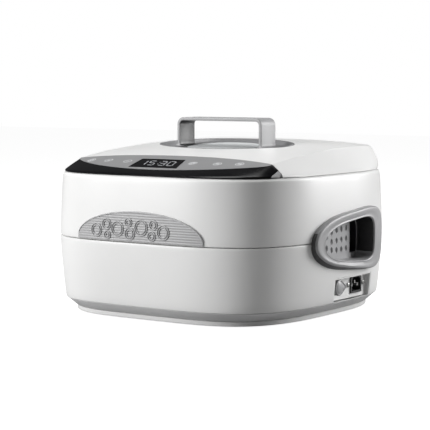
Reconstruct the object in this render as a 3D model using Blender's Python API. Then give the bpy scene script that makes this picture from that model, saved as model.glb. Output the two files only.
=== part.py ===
"""Bench-top ultrasonic cleaner: housing, tank, lid, panel, drain and electrics as separate solids.

World frame: X to the right, -Y to the front, +Z up, floor at z = 0. Lengths below are millimetres.
"""
import math

import bmesh
import bpy
from mathutils import Matrix, Vector

MM = 0.001
CLEAR = 0.3

# Plan outline of the housing: a superellipse with its own front and rear half depth.
HALF_W = 190.0
FRONT = 199.5
REAR = 185.0
POW_X = 4.1
POW_Y = 3.2
RING_N = 60
TANK_N = 40

# Heights of the stack.
PAN_BOTTOM = 8.4
PAN_TOP = 20.2
LOWER_BOTTOM = 20.5
DECK = 186.0
RIM = 188.8
LID_BOTTOM = 189.2

# Tank, centred behind the panel.
TANK_Y = 27.0
TANK_A = 140.0
TANK_B = 112.0
TANK_FLOOR = 62.0
TANK_T = 1.2

# Lid: the crease where the side wall meets the dome, and the dish in the dome.
CREASE_A = 156.0
CREASE_FRONT = 175.0
CREASE_REAR = 165.0
CREASE_POW = 8.0
LID_WALL = 3.0
DISH_A = 105.0
DISH_B = 57.0
DISH_FLOOR = 216.5
WINDOW_A = 60.0
WINDOW_B = 35.0

# Display, left of the middle of the panel.
DISPLAY_X = -5.0

# Lid handle.
HANDLE_HALF = 69.5
HANDLE_T = 4.5
HANDLE_W = 36.0
HANDLE_TOP = 259.5
HANDLE_R = 10.0

# Height of the carrying grips' centre line.
GRIP_Z = 100.5

# Connector recess on the right side of the lower housing.
PLATE_X = 176.0
PLATE_Y0 = -21.0
PLATE_Y1 = 80.0
PLATE_Z1 = 52.0
INLET_Y = 50.5
INLET_Z = 38.2
VALVE_Y = -5.0
VALVE_Z = 39.0
SCREW_PITCH = 40.0

FINISH = {
    "white_abs": ((0.86, 0.86, 0.85), 0.25, 0.0),
    "grey_abs": ((0.33, 0.33, 0.34), 0.4, 0.0),
    "dark_grey": ((0.16, 0.16, 0.17), 0.45, 0.0),
    "rim_grey": ((0.72, 0.72, 0.72), 0.35, 0.0),
    "black_gloss": ((0.01, 0.01, 0.012), 0.08, 0.0),
    "black_abs": ((0.02, 0.02, 0.022), 0.4, 0.0),
    "frost": ((0.75, 0.77, 0.78), 0.35, 0.0),
    "rubber": ((0.03, 0.03, 0.03), 0.8, 0.0),
    "silicone": ((0.6, 0.6, 0.58), 0.6, 0.0),
    "steel": ((0.62, 0.63, 0.64), 0.28, 1.0),
    "aluminium": ((0.72, 0.73, 0.74), 0.35, 1.0),
    "ceramic": ((0.45, 0.38, 0.3), 0.6, 0.0),
    "brass": ((0.75, 0.58, 0.28), 0.3, 1.0),
    "board": ((0.02, 0.2, 0.09), 0.45, 0.0),
}


def sgn_pow(value, power):
    return math.copysign(abs(value) ** power, value)


def clear_scene():
    for ob in list(bpy.data.objects):
        bpy.data.objects.remove(ob, do_unlink=True)


def material(name, finish):
    colour, rough, metal = FINISH[finish]
    mat = bpy.data.materials.new(name)
    mat.use_nodes = True
    shader = mat.node_tree.nodes["Principled BSDF"]
    shader.inputs["Base Color"].default_value = (*colour, 1.0)
    shader.inputs["Roughness"].default_value = rough
    shader.inputs["Metallic"].default_value = metal
    return mat


def add_object(name, bm, finish, sharp=35.0):
    """Turn a bmesh in millimetres into a named object in metres."""
    bmesh.ops.scale(bm, vec=(MM, MM, MM), verts=bm.verts)
    bmesh.ops.recalc_face_normals(bm, faces=bm.faces)
    for face in bm.faces:
        face.smooth = True
    mesh = bpy.data.meshes.new(name)
    bm.to_mesh(mesh)
    bm.free()
    mesh.set_sharp_from_angle(angle=math.radians(sharp))
    ob = bpy.data.objects.new(name, mesh)
    bpy.context.scene.collection.objects.link(ob)
    if finish:
        mesh.materials.append(material(name, finish))
    return ob


def add_rings(bm, rings, wrap=False, cap_start=True, cap_end=True):
    """Skin closed rings of equal length; wrap joins the last ring to the first."""
    loops = [[bm.verts.new(co) for co in ring] for ring in rings]
    count = len(loops[0])
    pairs = list(zip(loops, loops[1:]))
    if wrap:
        pairs.append((loops[-1], loops[0]))
    for low, high in pairs:
        for i in range(count):
            j = (i + 1) % count
            bm.faces.new((low[i], low[j], high[j], high[i]))
    if not wrap:
        for loop, wanted in ((loops[0], cap_start), (loops[-1], cap_end)):
            if wanted == "fan":
                centre = sum((v.co for v in loop), Vector()) / count
                centre.z = loop[0].co.z
                hub = bm.verts.new(centre)
                for i in range(count):
                    bm.faces.new((loop[i], loop[(i + 1) % count], hub))
            elif wanted:
                bm.faces.new(loop)
    return loops


def loft(name, rings, finish, wrap=False, sharp=35.0):
    bm = bmesh.new()
    add_rings(bm, rings, wrap)
    return add_object(name, bm, finish, sharp)


def add_box(bm, low, high):
    size = Vector(high) - Vector(low)
    centre = (Vector(high) + Vector(low)) / 2
    matrix = Matrix.Translation(centre) @ Matrix.Diagonal((*size, 1.0))
    bmesh.ops.create_cube(bm, size=1.0, matrix=matrix)


def box(name, low, high, finish, bevel=0.0):
    bm = bmesh.new()
    add_box(bm, low, high)
    if bevel:
        bmesh.ops.bevel(bm, geom=bm.edges[:], offset=bevel, segments=2, affect="EDGES", profile=0.5)
    return add_object(name, bm, finish)


def circle(radius, centre, axis="Z", count=32):
    """Ring of points around the given axis through centre."""
    points = []
    for i in range(count):
        t = 2 * math.pi * i / count
        u, v = radius * math.cos(t), radius * math.sin(t)
        offset = {"X": (0.0, u, v), "Y": (v, 0.0, u), "Z": (u, v, 0.0)}[axis]
        points.append(Vector(centre) + Vector(offset))
    return points


def turned(name, profile, centre, axis, finish, count=24, wrap=False, sharp=35.0):
    """Turned piece from (radius, position along the axis) pairs."""
    step = {"X": Vector((1, 0, 0)), "Y": Vector((0, 1, 0)), "Z": Vector((0, 0, 1))}[axis]
    rings = [circle(r, Vector(centre) + step * h, axis, count) for r, h in profile]
    return loft(name, rings, finish, wrap, sharp)


def modifier_cut(target, cutters):
    """Subtract each cutter from the target with an exact Boolean."""
    for number, cutter in enumerate(cutters):
        mod = target.modifiers.new("cut_%02d" % number, "BOOLEAN")
        mod.operation = "DIFFERENCE"
        mod.solver = "EXACT"
        mod.object = cutter
        cutter.hide_render = True
        cutter.display_type = "WIRE"


def cut_box(name, low, high):
    return box("cut_" + name, low, high, None)


def cut_bore(name, radius, centre, length, axis, count=20):
    return turned("cut_" + name, [(radius, 0.0), (radius, length)], centre, axis, None, count)


def smooth_path(points, steps):
    """Catmull-Rom curve through the points."""
    pts = [Vector(p) for p in points]
    pts = [pts[0] * 2 - pts[1]] + pts + [pts[-1] * 2 - pts[-2]]
    path = []
    for a, b, c, d in zip(pts, pts[1:], pts[2:], pts[3:]):
        for k in range(steps):
            t = k / steps
            path.append(0.5 * (2 * b + (c - a) * t + (2 * a - 5 * b + 4 * c - d) * t ** 2
                               + (3 * b - a - 3 * c + d) * t ** 3))
    path.append(pts[-2])
    return path


def sweep(name, points, outer, finish, inner=0.0, steps=4, count=10):
    """Round cord or tube along a smooth path, with a frame that does not twist."""
    path = smooth_path(points, steps)
    tangents = []
    for i in range(len(path)):
        ahead = path[min(i + 1, len(path) - 1)]
        behind = path[max(i - 1, 0)]
        tangents.append((ahead - behind).normalized())
    start = Vector((0, 0, 1)) if abs(tangents[0].z) < 0.9 else Vector((0, 1, 0))
    side = tangents[0].cross(start).normalized()
    frames = []
    for point, tangent in zip(path, tangents):
        side = (side - tangent * side.dot(tangent)).normalized()
        frames.append((point, side, tangent.cross(side)))

    def ring(frame, radius):
        point, u, v = frame
        angles = [2 * math.pi * i / count for i in range(count)]
        return [point + u * radius * math.cos(t) + v * radius * math.sin(t) for t in angles]

    rings = [ring(frame, outer) for frame in frames]
    if inner:
        rings += [ring(frame, inner) for frame in reversed(frames)]
    return loft(name, rings, finish, wrap=bool(inner), sharp=60.0)


# ---------------------------------------------------------------- housing skin


def plan_ring(inset, height, count=RING_N):
    """Housing outline, moved inwards by inset, at one height."""
    points = []
    for i in range(count):
        t = 2 * math.pi * (i + 0.5) / count
        x = (HALF_W - inset) * sgn_pow(math.cos(t), 2 / POW_X)
        half = (REAR if math.sin(t) > 0 else FRONT) - inset
        y = half * sgn_pow(math.sin(t), 2 / POW_Y)
        points.append(Vector((x, y, height)))
    return points


def skin_inset(z):
    """Inset of the housing's outer face: drafted both ways from the seam."""
    stations = ((LOWER_BOTTOM, 5.9), (60.0, 2.3), (101.8, 0.0), (104.8, 0.0), (150.0, 1.3), (183.0, 3.3))
    if z <= stations[0][0]:
        return stations[0][1]
    for (z0, i0), (z1, i1) in zip(stations, stations[1:]):
        if z <= z1:
            return i0 + (i1 - i0) * (z - z0) / (z1 - z0)
    return stations[-1][1]


def skin_x(y, z):
    """Outer face of the right side of the housing."""
    inset = skin_inset(z)
    half = (REAR if y > 0 else FRONT) - inset
    return (HALF_W - inset) * (1 - abs(y / half) ** POW_Y) ** (1 / POW_X)


def skin_front(x, z):
    """Outer face of the front of the housing."""
    inset = skin_inset(z)
    return -(FRONT - inset) * (1 - abs(x / (HALF_W - inset)) ** POW_X) ** (1 / POW_Y)


def tank_ring(a, b, height, count=TANK_N):
    points = []
    for i in range(count):
        t = 2 * math.pi * (i + 0.5) / count
        points.append(Vector((a * sgn_pow(math.cos(t), 0.3), TANK_Y + b * sgn_pow(math.sin(t), 0.3), height)))
    return points


def grip_ring(centre_y, half_y, half_z, taper, x_of, count=32):
    """Side grip outline: blunt at the rear, narrowing to a round nose at the front."""
    points = []
    for i in range(count):
        t = 2 * math.pi * (i + 0.5) / count
        c, s = math.cos(t), math.sin(t)
        py, pz = (2 / 4.5, 2 / 4.5) if c > 0 else (2 / 2.9, 2 / 2.3)
        along = sgn_pow(c, py)
        y = centre_y + half_y * along
        z = GRIP_Z + (half_z + taper * along) * sgn_pow(s, pz)
        points.append(Vector((x_of(y, z), y, z)))
    return points


def mirrored(rings):
    return [[Vector((-p.x, p.y, p.z)) for p in reversed(ring)] for ring in rings]


def grip_cutter(name, side):
    rings = [grip_ring(5.0, 67.5 + CLEAR, 28.0 + CLEAR, 6.0, lambda y, z, x=x: x) for x in (155.0, 205.0)]
    rings = rings if side > 0 else mirrored(rings)
    return loft("cut_" + name, rings, None)


def side_grip(name, side):
    """Carrying grip: a proud bezel and a finger pocket, deeper to the rear, in one moulding."""

    def floor_x(y, proud=0.0):
        return 173.0 - 0.13 * (y - 5.0) + proud

    rings = [
        grip_ring(5.0, 65.2, 25.7, 6.0, lambda y, z: floor_x(y, -2.3)),
        grip_ring(5.0, 67.5, 28.0, 6.0, lambda y, z: floor_x(y, 1.0)),
        grip_ring(5.0, 67.5, 28.0, 6.0, lambda y, z: skin_x(y, z) + 0.75),
        grip_ring(6.0, 78.0, 33.2, 6.8, lambda y, z: skin_x(y, z) + 0.75),
        grip_ring(7.0, 89.0, 38.5, 7.8, lambda y, z: skin_x(y, z) + 0.75),
        grip_ring(7.0, 88.4, 37.9, 7.8, lambda y, z: skin_x(y, z) + 6.5),
        grip_ring(6.8, 86.0, 36.0, 7.6, lambda y, z: skin_x(y, z) + 8.2),
        grip_ring(5.2, 67.0, 27.5, 6.1, lambda y, z: skin_x(y, z) + 7.2),
        grip_ring(5.0, 65.0, 25.5, 6.0, lambda y, z: skin_x(y, z) + 5.2),
        grip_ring(5.0, 64.0, 25.0, 6.0, lambda y, z: floor_x(y, 1.5)),
        grip_ring(5.0, 62.0, 23.5, 6.0, lambda y, z: floor_x(y)),
    ]
    rings = rings if side > 0 else mirrored(rings)
    return loft(name, rings, "grey_abs")


def build_housing():
    lower = loft("lower_housing", [
        plan_ring(5.9, LOWER_BOTTOM),
        plan_ring(2.3, 60.0),
        plan_ring(0.0, 101.8),
        plan_ring(0.9, 103.1),
        plan_ring(3.4, 103.1),
        plan_ring(3.0, 101.8),
        plan_ring(5.3, 60.0),
        plan_ring(8.9, LOWER_BOTTOM),
    ], "white_abs", wrap=True)
    upper = loft("upper_housing", [
        plan_ring(0.9, 103.5),
        plan_ring(0.0, 104.8),
        plan_ring(1.3, 150.0),
        plan_ring(3.3, 183.0),
        plan_ring(4.2, 186.2),
        plan_ring(6.0, 188.2),
        plan_ring(8.2, RIM),
        plan_ring(14.0, RIM),
        plan_ring(15.0, DECK),
        tank_ring(146.0, 118.0, DECK, RING_N),
        tank_ring(146.0, 118.0, DECK - 3.0, RING_N),
        plan_ring(9.0, DECK - 3.0),
        plan_ring(6.4, 180.0),
        plan_ring(4.3, 150.0),
        plan_ring(3.0, 104.8),
        plan_ring(3.4, 103.5),
    ], "white_abs", wrap=True)
    cuts_low = [grip_cutter("grip_low_right", 1), grip_cutter("grip_low_left", -1)]
    cuts_low.append(cut_box("recess", (170.0, PLATE_Y0 - CLEAR, 15.0),
                            (200.0, PLATE_Y1 + CLEAR, PLATE_Z1 + CLEAR)))
    cuts_low.append(cut_bore("outlet", 6.3, (60.0, 170.0, VALVE_Z), 30.0, "Y"))
    modifier_cut(lower, cuts_low)
    cuts_up = [grip_cutter("grip_up_right", 1), grip_cutter("grip_up_left", -1)]
    cuts_up.append(cut_box("ribbon_slot", (-24.0, -120.0, 180.0), (24.0, -112.0, 190.0)))
    modifier_cut(upper, cuts_up)
    side_grip("side_grip_right", 1)
    side_grip("side_grip_left", -1)


def build_base():
    pan = loft("base_pan", [
        plan_ring(22.5, 11.0),
        plan_ring(10.0, PAN_TOP),
        plan_ring(6.4, PAN_TOP),
        plan_ring(18.6, PAN_BOTTOM),
    ], "dark_grey")
    vents = []
    for number in range(6):
        x = 62.0 + 9.0 * number
        vents.append(cut_box("vent_%d" % number, (x, -145.0, 5.0), (x + 4.5, -97.0, 15.0)))
    modifier_cut(pan, vents)
    loft("base_rim", [
        plan_ring(19.0, PAN_BOTTOM - CLEAR),
        plan_ring(19.2, 2.2),
        plan_ring(25.0, 2.2),
        plan_ring(25.0, PAN_BOTTOM - CLEAR),
    ], "rim_grey", wrap=True)
    for number, (sx, sy) in enumerate(((1, -1), (-1, -1), (-1, 1), (1, 1)), 1):
        profile = [(9.0, 0.0), (10.0, 1.0), (10.5, 6.5), (9.0, PAN_BOTTOM - CLEAR)]
        turned("foot_%d" % number, profile, (125.0 * sx, 118.0 * sy, 0.0), "Z", "rubber", 16)


# ------------------------------------------------------------------------ lid


def arc_y(x):
    """Rear edge of the control panel, bowed towards the tank."""
    return -110.0 - 14.0 * (x / 161.0) ** 2


def dome_z(x, y):
    """Top face of the lid."""
    crown = 225.0 + 0.085 * y - 0.00045 * y * y - 8e-7 * y ** 3
    shoulder = 218.6 + 0.06 * y - 0.0004 * y * y
    return shoulder + (crown - shoulder) * (1 - min(1.0, abs(x) / CREASE_A) ** 3)


def shoulder_z(y):
    return dome_z(CREASE_A, y)


def lid_section(level):
    """Half sizes and exponents of the lid's wall, level 0 at the rim and 1 at the crease."""
    curve = level ** 1.25
    a = 184.5 + (CREASE_A - 184.5) * curve
    front = 194.0 + (CREASE_FRONT - 194.0) * curve
    rear = 179.0 + (CREASE_REAR - 179.0) * curve
    m = POW_X + (CREASE_POW - POW_X) * curve
    n = POW_Y + (CREASE_POW - POW_Y) * curve
    return a, front, rear, m, n


def wall_point(section, inset, t):
    a, front, rear, m, n = section
    x = (a - inset) * sgn_pow(math.cos(t), 2 / m)
    half = (rear if math.sin(t) > 0 else front) - inset
    return x, half * sgn_pow(math.sin(t), 2 / n)


def meet_arc(section, inset, offset):
    """Parameter where the wall crosses the panel's rear edge on the right side."""
    low, high = -math.pi / 2, 0.0
    for _ in range(50):
        mid = (low + high) / 2
        x, y = wall_point(section, inset, mid)
        if y < arc_y(x) + offset:
            low = mid
        else:
            high = mid
    return high


def lid_ring(level, inset=0.0, drop=0.0, offset=0.5, n_side=42, n_arc=14):
    """One ring of the lid: around the sides and rear, then back along the panel's edge."""
    section = lid_section(level)
    start = meet_arc(section, inset, offset)
    points = []
    for i in range(n_side):
        t = start + (math.pi - 2 * start) * i / (n_side - 1)
        x, y = wall_point(section, inset, t)
        top = shoulder_z(y) - drop
        points.append(Vector((x, y, LID_BOTTOM + (top - LID_BOTTOM) * level)))
    edge = points[0].x
    for i in range(1, n_arc + 1):
        x = -edge + 2 * edge * i / (n_arc + 1)
        y = arc_y(x) + offset
        top = dome_z(x, y) - drop
        points.append(Vector((x, y, LID_BOTTOM + (top - LID_BOTTOM) * level)))
    return points


def dome_ring(base, scale, drop):
    centre = Vector((0.0, 18.0, 0.0))
    points = []
    for p in base:
        q = centre + (p - centre) * scale
        points.append(Vector((q.x, q.y, dome_z(q.x, q.y) - drop)))
    return points


def ellipse_ring(a, b, z_of, count=44):
    points = []
    for i in range(count):
        t = 2 * math.pi * i / count
        x, y = a * math.cos(t), b * math.sin(t)
        points.append(Vector((x, y, z_of(x, y))))
    return points


def flat(z):
    return lambda x, y: z


def build_lid():
    levels = (0.0, 0.15, 0.45, 0.75, 0.93, 1.0)
    outer = [lid_ring(level) for level in levels]
    inner = [lid_ring(level, LID_WALL, LID_WALL, 0.5 + LID_WALL) for level in (0.0, 0.45, 0.8, 1.0)]
    inner_top = inner[-1]
    rings = [dome_ring(inner_top, 0.3, LID_WALL), dome_ring(inner_top, 0.7, LID_WALL)]
    rings += list(reversed(inner))
    rings += outer
    rings += [dome_ring(outer[-1], scale, 0.0) for scale in (0.93, 0.7, 0.3)]
    shell = loft("lid_shell", rings, "white_abs", sharp=40.0)
    hole = loft("cut_dish", [ellipse_ring(DISH_A + CLEAR, DISH_B + CLEAR, flat(z)) for z in (200.0, 240.0)],
                None)
    modifier_cut(shell, [hole])

    lip = 0.5
    bezel = loft("lid_bezel", [
        ellipse_ring(DISH_A, DISH_B, lambda x, y: dome_z(x, y) - 3.4),
        ellipse_ring(DISH_A, DISH_B, lambda x, y: dome_z(x, y) + lip),
        ellipse_ring(DISH_A - 2.0, DISH_B - 2.0, lambda x, y: dome_z(x, y) + lip),
        ellipse_ring(80.0, 43.0, flat(DISH_FLOOR)),
        ellipse_ring(WINDOW_A + 0.3, WINDOW_B + 0.3, flat(DISH_FLOOR)),
        ellipse_ring(WINDOW_A + 0.3, WINDOW_B + 0.3, flat(DISH_FLOOR - 1.9)),
        ellipse_ring(WINDOW_A - 4.0, WINDOW_B - 4.0, flat(DISH_FLOOR - 1.9)),
        ellipse_ring(WINDOW_A - 4.0, WINDOW_B - 4.0, flat(DISH_FLOOR - 3.7)),
        ellipse_ring(80.0, 43.0, flat(DISH_FLOOR - 3.7)),
    ], "grey_abs", wrap=True)
    loft("lid_window", [
        ellipse_ring(WINDOW_A, WINDOW_B, flat(DISH_FLOOR - 1.6)),
        ellipse_ring(WINDOW_A, WINDOW_B, flat(DISH_FLOOR - 0.3)),
        ellipse_ring(WINDOW_A - 1.0, WINDOW_B - 1.0, flat(DISH_FLOOR + 0.1)),
    ], "frost")

    foot_x = HANDLE_HALF - HANDLE_T / 2
    handle = build_handle()
    for side, sx in (("right", 1), ("left", -1)):
        bores = [cut_bore("handle_%s_%s" % (side, part), 2.2, (foot_x * sx, 0.0, z0), 12.0, "Z", 16)
                 for part, z0 in (("bezel", DISH_FLOOR - 8.0),)]
        modifier_cut(bezel, bores)
        blind = cut_bore("handle_%s_leg" % side, 1.8, (foot_x * sx, 0.0, DISH_FLOOR - 4.0), 12.0, "Z", 16)
        modifier_cut(handle, [blind])
        profile = [(3.6, -2.2), (3.6, -0.3), (1.5, -0.3), (1.5, 10.5)]
        turned("handle_screw_" + side, profile, (foot_x * sx, 0.0, DISH_FLOOR - 3.7), "Z", "steel", 16)


def build_handle():
    """Flat strap bent into an arch, with a flared foot on each leg."""
    base = DISH_FLOOR + CLEAR

    def half(offset, foot):
        reach = HANDLE_HALF - offset
        top = HANDLE_TOP - offset
        radius = HANDLE_R - offset
        points = [(reach + foot, base), (reach + foot * 0.35, base + 1.6), (reach, base + 4.0)]
        for i in range(7):
            t = math.pi / 2 * i / 6
            points.append((reach - radius + radius * math.cos(t), top - radius + radius * math.sin(t)))
        return points

    outer = half(0.0, 2.4)
    inner = half(HANDLE_T, -2.4)
    outline = outer + [(-x, z) for x, z in reversed(outer)]
    outline += [(-x, z) for x, z in inner] + list(reversed(inner))
    bm = bmesh.new()
    add_rings(bm, [[Vector((x, y, z)) for x, z in outline] for y in (-HANDLE_W / 2, HANDLE_W / 2)])
    handle = add_object("lid_handle", bm, "grey_abs", 30.0)
    soften = handle.modifiers.new("edge", "BEVEL")
    soften.width = 0.7 * MM
    soften.segments = 1
    soften.limit_method = "ANGLE"
    soften.angle_limit = math.radians(50.0)
    return handle


# ---------------------------------------------------------------------- panel


def arc_stations():
    """X positions along the panel's rear edge, with the lid's height there."""
    stations = []
    for level in (0.15, 0.3, 0.45, 0.6, 0.75, 0.93, 1.0):
        section = lid_section(level)
        x, y = wall_point(section, 0.0, meet_arc(section, 0.0, 0.0))
        stations.append((x, LID_BOTTOM + (shoulder_z(y) - LID_BOTTOM) * level))
    last = stations[-1][0]
    for i in range(1, 9):
        x = last * (1 - i / 8)
        stations.append((x, dome_z(x, arc_y(x))))
    return stations


def panel_front(x):
    """Front edge of the fascia, just inside the rim."""
    inset = 5.5
    return -(FRONT - inset) * (1 - abs(x / (HALF_W - inset)) ** POW_X) ** (1 / POW_Y)


def panel_rear_z(x):
    stations = sorted(arc_stations())
    x = abs(x)
    for (x0, z0), (x1, z1) in zip(stations, stations[1:]):
        if x <= x1:
            return z0 + (z1 - z0) * (x - x0) / (x1 - x0)
    return stations[-1][1]


def panel_z(x, share):
    """Height of the fascia's face; share runs from the front edge to the rear edge."""
    low = LID_BOTTOM + 1.6
    return low + (panel_rear_z(x) - low) * share ** 0.9


def panel_point(x, share, lift=0.0):
    front, rear = panel_front(x), arc_y(x)
    return Vector((x, front + (rear - front) * share, panel_z(x, share) + lift))


def build_panel():
    stations = [x for x, z in arc_stations() if arc_y(x) - panel_front(x) > 4.0]
    columns = stations + [-x for x in reversed(stations[:-1])]
    shares = (0.02, 0.2, 0.4, 0.6, 0.8, 1.0)
    wall = 2.5
    rings = []
    for x in columns:
        front, rear = panel_front(x), arc_y(x)
        span = rear - front
        face = [panel_point(x, s) for s in shares]
        ring = [Vector((x, front, LID_BOTTOM)), Vector((x, front, LID_BOTTOM + 1.1))]
        ring += face
        back = min(2.0, 0.12 * span)
        lip = min(6.0, 0.3 * span)
        ring += [Vector((x, rear, LID_BOTTOM)), Vector((x, rear - back, LID_BOTTOM))]
        for s in (1 - back / span, 0.7, 0.5, lip / span):
            point = panel_point(x, s)
            point.z = min(point.z - 0.7, max(point.z - wall, LID_BOTTOM + 0.6))
            ring.append(point)
        ring.append(Vector((x, front + 0.8 * lip, LID_BOTTOM)))
        rings.append(ring)
    loft("panel_fascia", rings, "black_gloss", sharp=25.0)

    def overlay(name, centre, half, low_of, high_of, lift, thick, finish, n_cols=21, n_rows=4):
        rings = []
        for i in range(n_cols):
            x = centre + half * math.sin(math.pi / 2 * (2 * i / (n_cols - 1) - 1)) * 0.995
            low, high = low_of(x), high_of(x)
            grid = [low + (high - low) * k / (n_rows - 1) for k in range(n_rows)]
            ring = [panel_point(x, s, lift + thick) for s in grid]
            ring += [panel_point(x, s, lift) for s in reversed(grid)]
            rings.append(ring)
        return loft(name, rings, finish, sharp=25.0)

    label_half = 150.0
    overlay("panel_label", 0.0, label_half,
            lambda x: 0.98 - 0.70 * (1 - (x / label_half) ** 2) ** 0.5,
            lambda x: 0.985, 0.3, 0.4, "grey_abs")
    overlay("display_window", DISPLAY_X, 36.0, lambda x: 0.39, lambda x: 0.86, 0.9, 0.35, "black_gloss", 9, 3)

    board = box("display_board", (-115.0, -18.0, -0.8), (115.0, 18.0, 0.8), "board")
    tilt = Matrix.Rotation(math.atan2(21.0, 86.0), 4, "X")
    place = Matrix.Translation(Vector((0.0, -143.0, 193.6)) * MM)
    board.data.transform(place @ tilt)
    module = box("display_module", (DISPLAY_X - 30.0, -8.0, 1.1), (DISPLAY_X + 30.0, 8.0, 4.2), "black_abs")
    module.data.transform(place @ tilt)


def build_badge():
    """Lunette-shaped plate standing proud of the upper housing's front."""
    half, base, rise = 100.0, 104.9, 37.0
    rings = []
    n_cols, n_rows = 21, 4
    for i in range(n_cols):
        x = half * math.sin(math.pi / 2 * (2 * i / (n_cols - 1) - 1)) * 0.997
        top = base + 2.0 + rise * (1 - (x / half) ** 2) ** 0.5
        grid = [base + (top - base) * k / (n_rows - 1) for k in range(n_rows)]
        ring = [Vector((x, skin_front(x, z) - 2.6, z)) for z in grid]
        ring += [Vector((x, skin_front(x, z) - CLEAR - 0.25, z)) for z in reversed(grid)]
        rings.append(ring)
    loft("badge_plate", rings, "grey_abs", sharp=25.0)


# ----------------------------------------------------------------------- tank


def build_tank():
    a, b, t = TANK_A, TANK_B, TANK_T
    tank = loft("tank", [
        tank_ring(a - 20, b - 20, TANK_FLOOR),
        tank_ring(a - 7, b - 7, TANK_FLOOR + 1.8),
        tank_ring(a - 2, b - 2, TANK_FLOOR + 10),
        tank_ring(a, b, 180.0),
        tank_ring(a + 1, b + 1, 186.8),
        tank_ring(a + 3, b + 3, 188.4),
        tank_ring(a + 15, b + 15, 188.4),
        tank_ring(a + 15, b + 15, 187.4),
        tank_ring(a + 3.4, b + 3.4, 187.4),
        tank_ring(a + t, b + t, 180.0),
        tank_ring(a - 2 + t, b - 2 + t, TANK_FLOOR + 10),
        tank_ring(a - 7 + t, b - 7 + t, TANK_FLOOR + 0.6),
        tank_ring(a - 20, b - 20, TANK_FLOOR - t),
    ], "steel")
    modifier_cut(tank, [cut_bore("tank_drain", 7.3, (75.0, -30.0, 50.0), 20.0, "Z")])
    loft("tank_gasket", [
        tank_ring(a + 7.0, b + 7.0, DECK + CLEAR),
        tank_ring(a + 14.0, b + 14.0, DECK + CLEAR),
        tank_ring(a + 14.0, b + 14.0, 187.1),
        tank_ring(a + 7.0, b + 7.0, 187.1),
    ], "silicone", wrap=True)

    for number, (x, y) in enumerate(((-75.0, 45.0), (0.0, 85.0), (75.0, 45.0)), 1):
        base = TANK_FLOOR - TANK_T - CLEAR
        turned("transducer_%d_horn" % number, [(22.0, 0.0), (22.0, -4.0), (17.5, -20.0), (17.5, -22.0)],
               (x, y, base), "Z", "aluminium", 20)
        turned("transducer_%d_stack" % number, [(17.5, -22.3), (17.5, -28.3), (16.5, -28.3), (16.5, -40.0),
                                                (14.5, -42.0)],
               (x, y, base), "Z", "ceramic", 20)
    wall_front = TANK_Y - TANK_B - TANK_T
    box("heater_pad", (-80.0, wall_front - 2.6, 85.0), (80.0, wall_front - 0.6, 150.0), "silicone", 0.4)
    turned("thermostat", [(9.5, 0.0), (9.5, -4.0), (7.0, -4.0), (7.0, -12.0)],
           (-TANK_A - TANK_T - 0.6, TANK_Y, 158.0), "X", "black_abs", 24)


def build_basket():
    """Perforated sheet basket hanging by its flange from the tank's rim."""
    a, b, floor, top = 131.0, 103.0, 68.0, 189.7
    basket = loft("basket", [
        tank_ring(a - 9, b - 9, floor),
        tank_ring(a - 3.6, b - 3.6, floor + 1.4),
        tank_ring(a - 2, b - 2, floor + 5),
        tank_ring(a, b, top),
        tank_ring(a + 19, b + 19, top),
        tank_ring(a + 19, b + 19, top - 1.0),
        tank_ring(a + 1.2, b + 1.2, top - 1.0),
        tank_ring(a - 0.8, b - 0.8, floor + 5),
        tank_ring(a - 2.6, b - 2.6, floor + 0.4),
        tank_ring(a - 9, b - 9, floor - 1.2),
    ], "steel")
    slots = bmesh.new()
    for row in range(7):
        y = TANK_Y - 66.0 + 22.0 * row
        for low, high in ((-94.0, -6.0), (6.0, 94.0)):
            add_box(slots, (low, y - 4.0, floor - 4.0), (high, y + 4.0, floor + 1.0))
    for column in range(9):
        x = -88.0 + 22.0 * column
        for y0, y1 in ((TANK_Y - b - 6, TANK_Y - b + 12), (TANK_Y + b - 12, TANK_Y + b + 6)):
            add_box(slots, (x - 4.0, y0, floor + 18.0), (x + 4.0, y1, 165.0))
    modifier_cut(basket, [add_object("cut_basket_slots", slots, None)])


# ---------------------------------------------------------------------- drain


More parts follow.
